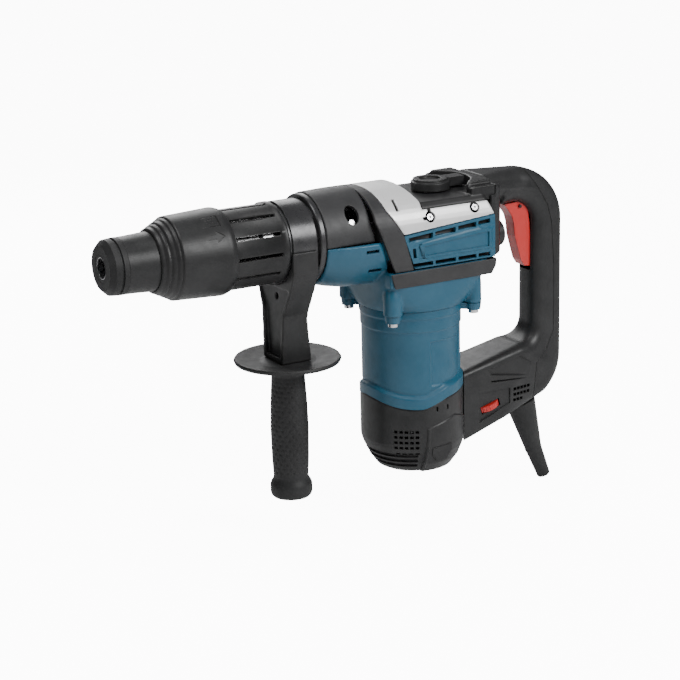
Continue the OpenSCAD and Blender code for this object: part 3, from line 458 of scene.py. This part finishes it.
# ---------- motor housing and cap ----------
motor_x = (cad("motor_cap")[0].x + cad("motor_cap")[1].x) / 2
motor_r = 46.3
cap_r = cad("motor_cap")[1].y
seam_z = cad("motor_housing")[1].z
bottom_z = cad("motor_cap")[0].z
# Height of the edge between the blue housing and the black cap, by angle from the front
EDGE = [(0, -157.8), (15, -159.3), (30, -162.5), (45, -165.3), (60, -166.7), (73, -167), (88, -162.6),
        (102, -158.4), (125, -156), (150, -154.8), (180, -154.5)]


def edge_z(theta):
    return sum(ramp(abs(theta) + d, EDGE) for d in (-4, -2, 0, 2, 4)) / 5 if abs(theta) < 176 else -154.5


def turned_wall(levels, outer, inner_r, inner_low, close_bottom, turns=360):
    """A wall about the motor's axis: outer(theta, level) gives radius and height of each row."""
    verts = []
    for j in range(levels + 1):
        for i in range(turns):
            theta = (i * 360 / turns + 180) % 360 - 180
            r, z = outer(theta, j / levels)
            a = math.radians(theta)
            verts.append((motor_x + r * math.cos(a), r * math.sin(a), z))
    for z_of in (inner_low, lambda theta: outer(theta, 0)[1]):
        for i in range(turns):
            theta = (i * 360 / turns + 180) % 360 - 180
            a = math.radians(theta)
            verts.append((motor_x + inner_r * math.cos(a), inner_r * math.sin(a), z_of(theta)))
    faces = []
    for j in range(levels + 3):
        nxt = (j + 1) % (levels + 3)
        if j == levels and close_bottom:
            continue
        for i in range(turns):
            k = (i + 1) % turns
            faces.append((j * turns + i, j * turns + k, nxt * turns + k, nxt * turns + i))
    if close_bottom:
        faces.append(tuple(levels * turns + i for i in range(turns)))
        faces.append(tuple((levels + 1) * turns + i for i in range(turns)))
    return mesh_object(verts, faces)


def housing_skin(theta, t):
    """Radius and height of the blue motor housing: flange, ridge, side panel and flared edge."""
    low = edge_z(theta)
    z = seam_z + (low - seam_z) * t
    r = motor_r + 1.9 * step(z, -82.5, -80.5) + 0.9 * step(z, -94.5, -93) * (1 - step(z, -82.5, -80.5))
    above = z - low
    r += 2.5 * (1 - step(above, 9.2, 12.2)) - 0.5 * step(above, 11.8, 12.6) * (1 - step(above, 13.4, 15))
    off = abs(theta)
    inside = step(off, 81.5, 82.6) * (1 - step(off, 138.5, 139.6))
    inside *= step(z, -146.5, -145.2) * (1 - step(z, -104.2, -103))
    inside *= 1 - step(off - 130 - (z + 146), 0, 1.2) * (1 if z < -132 else 0)
    return r - 1.2 * inside, z


def cap_skin(theta, t):
    """Radius and height of the black motor cap: ribs at the lower front and a raised plate on each side."""
    off = abs(theta)
    low = edge_z(theta) - 0.35
    straight = 0.55
    if t < straight:
        z = low + (-203 - low) * t / straight
    else:
        z = -203 + (bottom_z + 203) * (t - straight) / (1 - straight)
    r = ramp(z, [(bottom_z, 29), (-230.5, 34), (-222, 40.4), (-213, 44.9), (-206, 47.6), (-202, cap_r), (0, cap_r)])
    r -= 0.5 * (1 - step(low - z, 0.2, 1.2))
    for groove in (-213, -218.6, -224.2):
        r -= 2.3 * (1 - step(abs(z - groove), 0.9, 1.9)) * (1 - step(off, 64, 66))
    left = 75.5 - 3.5 * step(-z, 186, 229)
    plate = step(off, left, left + 1.6) * (1 - step(off, 144, 146.5))
    top = ramp(off, [(75, -186), (113, -177), (145, -186)])
    plate *= 1 - step(z, top - 1.2, top)
    plate_r = ramp(z, [(bottom_z, 31), (-231, 37.5), (-222, 44), (-212, 47.9), (-205, cap_r + 0.9), (0, cap_r + 0.9)])
    r += max(plate_r - r, 0) * plate
    rib = step(off, left, left + 0.6) * (1 - step(off, left + 3.2, left + 4))
    return r + 0.7 * rib * (1 - step(z, top - 1.2, top)), z


def around(theta, z, r_in, r_out, width, height, tilt=0):
    """A bar that points away from the motor's axis, to cut a slot of that width and height."""
    a = math.radians(theta)
    out = Vector((math.cos(a), math.sin(a), 0))
    along = Vector((-math.sin(a), math.cos(a), 0))
    up = Vector((0, 0, 1))
    turn = math.radians(tilt)
    u = along * math.cos(turn) + up * math.sin(turn)
    v = up * math.cos(turn) - along * math.sin(turn)
    centre = Vector((motor_x, 0, z))
    verts = [centre + out * r + u * (width / 2 * p) + v * (height / 2 * q)
             for r in (r_in, r_out) for p, q in ((-1, -1), (1, -1), (1, 1), (-1, 1))]
    return mesh_object(verts, [(0, 1, 2, 3), (7, 6, 5, 4), (0, 1, 5, 4), (1, 2, 6, 5), (2, 3, 7, 6), (3, 0, 4, 7)])


def motor_housing():
    wall = turned_wall(120, housing_skin, motor_r - 3, edge_z, False)
    bosses = [rod((x, side * 40, seam_z), (x, side * 40, seam_z - 6.4), 7.4, 6.6) for x in (-264, -351) for side in SIDES]
    webs = [prism([(x - 6, side * 41), (x + 6, side * 41), (motor_x + (x - motor_x) * 0.72 + 7, side * 30),
                   (motor_x + (x - motor_x) * 0.72 - 7, side * 30)], "z", seam_z - 6, seam_z) for x in (-264, -351) for side in SIDES]
    combine(wall, "UNION", [together(bosses), together(webs)])
    drills = [rod((x, side * 40, seam_z + 2), (x, side * 40, seam_z - 7.5), 2.6) for x in (-264, -351) for side in SIDES]
    combine(wall, "DIFFERENCE", [together(drills)])
    piece(crisp(wall), "blue_motor_housing", "blue_plastic", "motor_housing")


def motor_cap():
    wall = turned_wall(130, cap_skin, cap_r - 3.2, lambda theta: -209, True)
    grid = [around(side * (40.5 + 6 * i), -188.6 - 5.2 * j, 41, 60, 3.4, 2.7)
            for side in SIDES for i in range(5) for j in range(4)]
    lower = [around(side * (42 + 7.6 * i), -210.6, 38, 60, 4.6, 1.4) for side in SIDES for i in range(4)]
    small = [around(side * a, -168, 41, 60, 1.9, 4.6) for side in SIDES for a in (88, 102.3)]
    slanted = [around(side * 139, -191 - 5.6 * i, 41, 60, 5.2, 1.9, side * 24) for side in SIDES for i in range(4)]
    hexagon = [(-298.4, -204.4), (-323.2, -202.4), (-323.2, -211.9), (-317.2, -220.2), (-302.6, -220.6), (-297.6, -209.8)]
    hollow = [prism(hexagon, "y", 47.4, 60, side) for side in SIDES]
    combine(wall, "DIFFERENCE", [together(grid), together(lower), together(small), together(slanted), together(hollow)])
    inset = [(x + 2.2 * (1 if x < -310.5 else -1), z + (1.8 if z < -211 else -1.8)) for x, z in hexagon]
    combine(wall, "UNION", [together([prism(inset, "y", 44, 48.1, side) for side in SIDES])])
    piece(crisp(wall), "black_motor_cap", "black_plastic", "motor_cap")


# ---------- gearbox ----------
def gearbox_section(z, inset):
    """Half sizes to the front, rear and side of the lower gearbox at a height, and how square it is."""
    k = min(max((-z - 46.6) / (-seam_z - 46.6), 0), 1)
    front = 52 - 3.1 * k - inset
    rear = ramp(z, [(seam_z, 49), (-50, 54), (-46, 58), (-36, 61.4), (10, 61.4)]) - inset
    half = 50.3 - 1.4 * k ** 1.5 - inset
    return front, rear, half, 7 - 4.9 * k ** 0.7


def gearbox_bowl(z_top, z_low, inset, turns=180, levels=36):
    """The gearbox between two heights: square at the side panels, round where the motor joins it."""
    verts = []
    for j in range(levels + 1):
        z = z_top + (z_low - z_top) * j / levels
        front, rear, half, square = gearbox_section(z, inset)
        for i in range(turns):
            c, t = math.cos(2 * math.pi * i / turns), math.sin(2 * math.pi * i / turns)
            length = front if c > 0 else rear
            r = (abs(c / length) ** square + abs(t / half) ** square) ** (-1 / square)
            verts.append((motor_x + r * c, r * t, z))
    faces = [(j * turns + i, j * turns + (i + 1) % turns, (j + 1) * turns + (i + 1) % turns, (j + 1) * turns + i)
             for j in range(levels) for i in range(turns)]
    faces += [tuple(range(turns)), tuple(levels * turns + i for i in range(turns))]
    return mesh_object(verts, faces)


def lathe(profile, sides=128):
    """A form turned about the spindle axis from (x, radius) points."""
    return sweep([((x, 0, 0), (-1, 0, 0), r) for x, r in profile], sides)


def gear_housing():
    front_x = cad("gear_housing")[1].x
    belly = [(front_x, 0), (front_x, 42), (-212, 46), (-228, 49), (-264, 50)]
    cone = lathe([*belly, (-300, 50), (-300, 0)])
    clear = [block((-320, -60, -2.8), (-190, 60, 60)),
             prism([(-245.6, 10), (-245.6, 0), (-247, -3), (-262, -33), (-310, -33), (-310, 10)], "y", -60, 60)]
    combine(cone, "DIFFERENCE", clear)
    behind_strap = lathe([(-236, 0), (-236, 46.6), (-280, 46.6), (-280, 0)])
    combine(behind_strap, "DIFFERENCE", [block((-320, -60, -2.8), (-190, 60, 60))])
    combine(cone, "UNION", [behind_strap])
    bowl = gearbox_bowl(-32.6, seam_z, 0)
    backs = [block((-290, 40, -46.4), (-256.4, 50.3, -33), side) for side in SIDES]
    domes = [sweep([((x, side * 40, z), (0, 0, 1), r * g) for z, g in
                    ((seam_z, 0), (seam_z, 1), (top - 9, 0.97), (top - 4, 0.82), (top - 1, 0.5), (top, 0))])
             for x, r, top in ((-264, 8.8, -47), (-351, 7.6, -44)) for side in SIDES]
    combine(bowl, "UNION", [cone, together(backs), together(domes)])
    inner = gearbox_bowl(-20, seam_z - 10, 3.2)
    tunnel = lathe([(front_x + 5, 0), (front_x + 5, 38.8), (-212, 42.6), (-228, 43.6), (-300, 43.6), (-300, 0)])
    gear_room = rod((-249, 0, -36), (-249, 0, -42.6), 20.8)
    combine(bowl, "DIFFERENCE", [inner, tunnel, gear_room])
    round_off(bowl, 1.15, 7)
    slots = [block((-246 + 6.5 * i, 30, z), (-233 + 6.5 * i, 60, z + 3), side) for i, z in ((0, -11), (-1, -30.5)) for side in SIDES]
    for slot in slots:
        combine(bowl, "DIFFERENCE", [slot])
    piece(crisp(bowl, 50), "blue_gear_housing", "blue_plastic", "gear_housing")
    core = block((-366.5, -45.4, -33.5), (-264, 45.4, 5))
    combine(core, "DIFFERENCE", [block((-365, -43, -40), (-240, 43, 20))])
    piece(core, "gearbox_inner_wall", "black_plastic", body="housing")


# ---------- rear handle ----------
def arc(x, z, radius, start, end, steps):
    """Points on an arc in the side view, its angles in degrees from +X towards +Z."""
    angles = [math.radians(start + (end - start) * i / steps) for i in range(steps + 1)]
    return [(x + radius * math.cos(a), z + radius * math.sin(a)) for a in angles]


bar_rear_x = cad("grip_pad")[0].x
arm_top_z = cad("handle_left")[1].z


def handle_outline(d):
    """Side outline of the handle: its outer line, then back along the hand opening, inset by d."""
    return [(-375 - d, arm_top_z - d), *arc(bar_rear_x + 53, arm_top_z - 53, 53 - d, 90, 180, 18),
            *arc(bar_rear_x + 50, -148, 50 - d, 180, 232, 10), (-401, -200 + d), (-345 - d, -217 + d),
            (-345 - d, -148 - d), *arc(-418, -113, 18 + d, 270, 180, 10), *arc(-416, -14, 20 + d, 180, 90, 10),
            (-399, 6 + d), (-395.4 - d, 12.4 + d), (-375 - d, 12.4 + d)]


def handle_half_width(x, z):
    link = ramp(x, [(-472, 18), (-446, 18), (-425, 24), (-345, 26)])
    arm = ramp(x, [(-472, 18), (-420, 18), (-402, 20.5), (-375, 26)])
    return link + (arm - link) * step(z, -140, -100)


def handle_form():
    """The handle as a solid: round along the grip, firmer edges at the arm and at the motor link."""
    steps = [0, 0.5, 1.2, 2.2, 3.4, 5, 7, 9.5, 12, 14]
    verts, rings = [], []
    for side in SIDES:
        for d in steps if side > 0 else reversed(steps):
            ring = []
            for x, z in handle_outline(d):
                link = step(x, -436, -410) * step(-z, 118, 140)
                r = 14 - 9 * link - 5 * step(x, -410, -385) * (1 - link)
                lost = r - math.sqrt(max(r * r - (r - min(d, r)) ** 2, 0))
                ring.append(len(verts))
                verts.append((x, side * (handle_half_width(x, z) - lost), z))
            rings.append(ring)
    n = len(rings[0])
    faces = [(a[i], a[(i + 1) % n], b[(i + 1) % n], b[i]) for a, b in zip(rings, rings[1:]) for i in range(n)
             if a is not rings[len(steps) - 1]]
    middle = rings[len(steps) - 1], rings[len(steps)]
    outer = rings[0], rings[-1]
    faces += [(outer[0][i], outer[0][(i + 1) % n], outer[1][(i + 1) % n], outer[1][i]) for i in range(n)]
    faces += [tuple(middle[0]), tuple(middle[1])]
    return mesh_object(verts, faces)


PAD_LINE = [(-426, 60), (-429, 34), (-440, 18), (-450, 2), (-455, -16), (-458, -60), (-458, -123), (-450, -141),
            (-436, -152), (-434, -184), (-434, -230)]


def pad_zone(shift):
    """Everything behind the seam of the soft pad."""
    return prism([*[(x + shift, z) for x, z in PAD_LINE], (-520, -230), (-520, 60)], "y", -60, 60)


def handle():
    form = round_off(handle_form(), 1.3, 5)
    pad = copy_form(form)
    pockets = [block((-452, -8.6, -63), (-404, 8.6, 9)), rod((motor_x, 0, -130), (motor_x, 0, -240), cap_r + 1, sides=180)]
    axis = Vector((math.sin(math.radians(16)), 0, math.cos(math.radians(16))))
    hub = Vector((-381, 14, -186))
    cuts = []
    for side in SIDES:
        cuts.append(prism([(-377, -149), (-415, -141), (-428.5, -149), (-428.5, -163), (-381, -154.5)], "y", 22.4, 40, side))
        cuts.append(prism([(-381, -160.2), (-428.5, -163.9), (-428.5, -165.3), (-381, -161.8)], "y", 22.4, 40, side))
        cuts.append(prism([(-366, -170), (-403, -170.6), (-403, -186), (-367, -199.6)], "y", 23.3, 40, side))
        for row, count in ((0, 5), (1, 5), (2, 3)):
            for i in range(count):
                x, z = -407 - 4.3 * i, -171.6 - 5.6 * row
                cuts.append(block((x - 3.5, 18, z - 3), (x, 40, z), side))
    screws = [rod((x, -(w - 3), z), (x, -60, z), 3.3) for x, z, w in
              ((-398, 24, 22), (-366, -200, 26))]
    combine(form, "DIFFERENCE", [pad_zone(0.5), *pockets, rod(hub - axis * 3.9, hub + axis * 3.9, 14.4),
                                 together(cuts), together(screws)])
    piece(crisp(form, 50), "handle_shell", "black_plastic", "handle_left", "handle_right")
    tool = pad_zone(0)
    m = pad.modifiers.new("keep", "BOOLEAN")
    m.operation, m.solver, m.object = "INTERSECT", "MANIFOLD", tool
    settle(pad)
    bpy.data.objects.remove(tool)
    combine(pad, "DIFFERENCE", [block((-453, -8.6, -63), (-404, 8.6, 9))])
    piece(crisp(pad, 50), "handle_soft_pad", "black_rubber", "grip_pad")


# ---------- covers with softened edges ----------
def copy_form(form):
    ob = bpy.data.objects.new("form", form.data.copy())
    bpy.context.scene.collection.objects.link(ob)
    return ob


def softened(node, slot, name, voxel=0.8, passes=4, cuts=(), adds=()):
    """A CAD node with its edges rounded, and details cut in or added."""
    form = copy_of(node)
    for tool in adds:
        combine(form, "UNION", [tool])
    round_off(form, voxel, passes)
    if cuts:
        combine(form, "DIFFERENCE", list(cuts))
    return piece(crisp(form, 50), name, slot, node)


def side_panel(node, side):
    """A side panel with wide cooling slots, a raised frame and a sunk label field with a rounded front."""
    form = copy_of(node)
    cuts = []
    for x0, length in ((-275.4, 25.6), (-303.6, 21.8), (-328.2, 19.6), (-350.6, 12.4)):
        low = -5.5 - 0.08 * (x0 + 276)
        cuts.append(prism([(x0, low), (x0, low + 3.9), (x0 - length, low + 3.9 + 0.08 * length),
                           (x0 - length, low + 0.08 * length)], "y", 40, 60, side))
        cuts.append(block((x0 - length, 40, -29.6), (x0, 60, -25.9), side))
    cuts.append(prism([(-279.6, -12), (-280.6, -21), (-283.8, -21), (-282.8, -12)], "y", 40, 60, side))
    field = [(-287, -10.4), (-289.4, -8.6), (-362.6, -3.6), (-363.6, -4.6), (-363.6, -21.4), (-362.6, -22.4),
             (-292.6, -22.4), (-290.2, -20.8)]
    inner = [(-291.4, -11.4), (-361.6, -6.4), (-361.6, -20.4), (-293.6, -20.4)]
    rim = prism(field, "y", 48, 51, side)
    combine(rim, "DIFFERENCE", [prism(inner, "y", 40, 62, side)])
    combine(form, "DIFFERENCE", [together(cuts), prism(inner, "y", 49.5, 60, side)])
    combine(form, "UNION", [rim])
    piece(crisp(form, 30), "blue_" + node, "blue_plastic", node)


def painted_shade_fillers():
    """Black wall at the bottom of the groove between the front cover and the strap, and black floors under the top
    cover's slots: painted shade where these hollows fall dark.
    """
    # Black wall in the groove: painted shade.
    arch = [(47 * math.cos(a) ** 0.889, 37.4 * math.sin(a) ** 0.889) for a in
            [math.pi / 2 * i / 16 for i in range(16)]]
    arch += [(0, 37.4)] + [(-y, z) for y, z in reversed(arch)]
    form = prism([*arch, (-47, -2.6), (47, -2.6)], "x", -251.5, -248.5)
    combine(form, "DIFFERENCE", [lathe([(-240, 0), (-240, 36), (-260, 36), (-260, 0)])])
    # Black floors under the top cover's slots: painted shade.
    painted_shade_floors = [radial_block(-272, -264, 17, angle, 40, 44) for angle in (35, 145)]
    form = together([form, *painted_shade_floors])
    piece(crisp(form, 40), "painted_shade_fillers", "black_plastic", body="housing")


def covers():
    softened("bumper_strip", "grey_plastic", "bumper_band", 0.7, 3)
    softened("rear_cover", "black_plastic", "rear_body", 0.9, 6)
    softened("rear_cap", "black_plastic", "rear_plug", 0.6, 4,
             [block((-410, -1.6, -12.5), (-400, 1.6, -8))])
    softened("selector_knob", "black_plastic", "selector_disc", 0.5, 3)
    softened("trigger", "red_plastic", "trigger_blade", 0.5, 6, [rod((-425, -12, 1), (-425, 12, 1), 1.6)])
    softened("handle_bracket", "black_plastic", "side_bracket", 0.8, 5)
    softened("cord_boot", "black_rubber", "cord_sleeve", 0.8, 6)
    softened("cover_strap", "grey_plastic", "cover_band", 0.7, 4)
    softened("top_deck", "black_plastic", "deck_cover", 0.8, 4)
    pockets = []
    for side in SIDES:
        lean = Vector((0, side * math.sin(math.radians(68)), math.cos(math.radians(68))))
        for (x, z), long in (((-300, 14), 4.5), ((-348, 17), 3)):
            at = Vector((x, side * 47, z))
            pockets.append(rod(at - lean * 8, at + lean * 16, 5.2))
            pockets.append(block((x - 2, 40, z), (x + 2, 60, z + long + 6), side))
        pockets.append(block((x_keyhole, 44, 12), (x_keyhole + 5, 60, 15), side))
    pockets += [radial_block(-269.8, -266.8, 13, angle, 36, 60) for angle in (35, 145)]
    softened("top_cover", "silver_paint", "silver_cover", 0.7, 3, [together([p]) for p in pockets])
    holes = [radial_form([(-226 + 6.7 * math.cos(a), 9.6 * math.sin(a)) for a in
                          [2 * math.pi * i / 40 for i in range(40)]], angle, 30, 50) for angle in (34, 146)]
    softened("front_cover", "grey_plastic", "front_shroud", 0.8, 4, [together(holes)])
    bolts = [rod((-227, side * 29, 13.5), (-227, side * 33.8, 15.8), 3) for side in SIDES]
    piece(crisp(together(bolts)), "shroud_bolts", "bright_steel", body="housing")
    for node, side in (("left_panel", 1), ("right_panel", -1)):
        side_panel(node, side)


x_keyhole = -297


# ---------- nose, sleeve and side grip ----------
def radial_form(outline, angle, r_in, r_out):
    """A bar pointing out from the spindle axis, from an outline of (x, distance along the surface)."""
    a = math.radians(angle)
    out, along = Vector((0, math.cos(a), math.sin(a))), Vector((0, -math.sin(a), math.cos(a)))
    n = len(outline)
    verts = [Vector((x, 0, 0)) + along * w + out * r for r in (r_in, r_out) for x, w in outline]
    walls = [(i, (i + 1) % n, n + (i + 1) % n, n + i) for i in range(n)]
    return mesh_object(verts, [tuple(range(n)), tuple(range(2 * n - 1, n - 1, -1)), *walls])


def radial_block(x0, x1, width, angle, r_in, r_out):
    return radial_form([(x0, -width / 2), (x1, -width / 2), (x1, width / 2), (x0, width / 2)], angle, r_in, r_out)


def locking_sleeve():
    """The sleeve with a sunk frame and an arrow on each side that show which way it opens."""
    form = round_off(copy_of("locking_sleeve"), 0.75, 1)
    marks = []
    for turn in (0, 180):
        for x0, x1, width, angle in ((-85.6, -84.4, 12, 57), (-101.6, -100.4, 12, 57), (-101.6, -84.4, 1, 48.3),
                                     (-101.6, -84.4, 1, 65.7), (-97, -89, 1, 54), (-97, -89, 1, 60)):
            marks.append(radial_block(x0, x1, width, angle + turn, 38.1, 45))
        marks.append(radial_form([(-83, -2), (-94.5, -2), (-94.5, -5.6), (-102.5, 0), (-94.5, 5.6), (-94.5, 2), (-83, 2)],
                                 33 + turn, 38.1, 45))
    for mark in marks:
        combine(form, "DIFFERENCE", [mark])
    piece(crisp(form, 30), "pull_back_sleeve", "black_plastic", "locking_sleeve")


def guard_sleeve():
    """The slotted sleeve behind the locking sleeve."""
    form = copy_of("guard_sleeve")
    slots = [radial_block(-155.5, -113, 3.4, 30 * k + 86, 30, 45) for k in range(12)]
    combine(form, "DIFFERENCE", [together(slots)])
    piece(crisp(form, 30), "slotted_sleeve", "black_plastic", "guard_sleeve")


def nose_lip():
    """Soft lip that hides the steel edge of the socket."""
    ring = [(0.45, 10.4), (0.2, 12.6), (-1, 12.8), (-1, 9.7), (0.1, 9.6), (0.45, 10)]
    verts, faces, turns, n = [], [], 96, len(ring)
    for i in range(turns):
        a = 2 * math.pi * i / turns
        verts += [(x, r * math.cos(a), r * math.sin(a)) for x, r in ring]
        faces += [(i * n + j, i * n + (j + 1) % n, (i + 1) % turns * n + (j + 1) % n, (i + 1) % turns * n + j)
                  for j in range(n)]
    piece(crisp(mesh_object(verts, faces), 40), "nose_lip", "black_rubber", body="spindle")


def side_grip():
    """Hand guard and grip, with staggered rows of dimples round the grip."""
    x0, turns = -176, 144
    low_z = cad("side_grip")[0].z
    disc_r = cad("side_grip")[1].y
    rows = [(8, -109.2), (22, -109.4), (25, -110.4), (27, -110.3), (disc_r - 9, -108.6), (disc_r - 3, -107.5),
            (disc_r - 1, -107.4), (disc_r, -109), (disc_r - 1, -111.2), (disc_r - 4, -111.6), (27, -113.6),
            (21, -115), (17.5, -118.5), (15.6, -123)]
    z = -123.8
    while z > low_z + 19:
        rows.append((ramp(z, [(low_z + 19, 16), (-205, 17), (-175, 17.6), (-150, 16.8), (-123, 15.2)]), z))
        z -= 0.75
    flange = ((17, 17), (18.6, 14.5), (19.4, 12), (19.4, 5), (18.6, 2.5), (17, 0.8), (14.5, 0), (8.2, 0))
    rows += [(r, low_z + up) for r, up in flange]
    rows += [(8.2, -226), (4.2, -226), (4.2, -109.2)]
    pitch, dimple = 4.6, 1.45
    verts = []
    for r, z in rows:
        for i in range(turns):
            a = 2 * math.pi * i / turns
            sunk = 0
            if low_z + 24 < z < -128:
                row = round((-132 - z) / pitch)
                off_z = z - (-132 - row * pitch)
                turn = (i / turns * 18 + row / 2) % 1
                off = math.hypot(off_z, (turn - 0.5) * 2 * math.pi * r / 18)
                sunk = 0.75 * max(1 - (off / dimple) ** 2, 0)
            verts.append((x0 + (r - sunk) * math.cos(a), (r - sunk) * math.sin(a), z))
    faces = []
    for j in range(len(rows)):
        below = (j + 1) % len(rows)
        for i in range(turns):
            k = (i + 1) % turns
            faces.append((j * turns + i, j * turns + k, below * turns + k, below * turns + i))
    piece(crisp(mesh_object(verts, faces), 50), "dimpled_grip", "black_rubber", "side_grip")


# ---------- carried-over CAD nodes ----------
def dress(ob):
    """Gives a CAD node the finish of its slot."""
    for held in ob.material_slots:
        held.material = materials[held.material.name.split(".")[0]]


camera()
studio()
for ob in frame["nodes"].values():
    dress(ob)
motor_housing()
motor_cap()
gear_housing()
handle()
# Painted shade: black wall in the groove and black floors under the cover's slots.
painted_shade_fillers()
covers()
locking_sleeve()
guard_sleeve()
nose_lip()
side_grip()
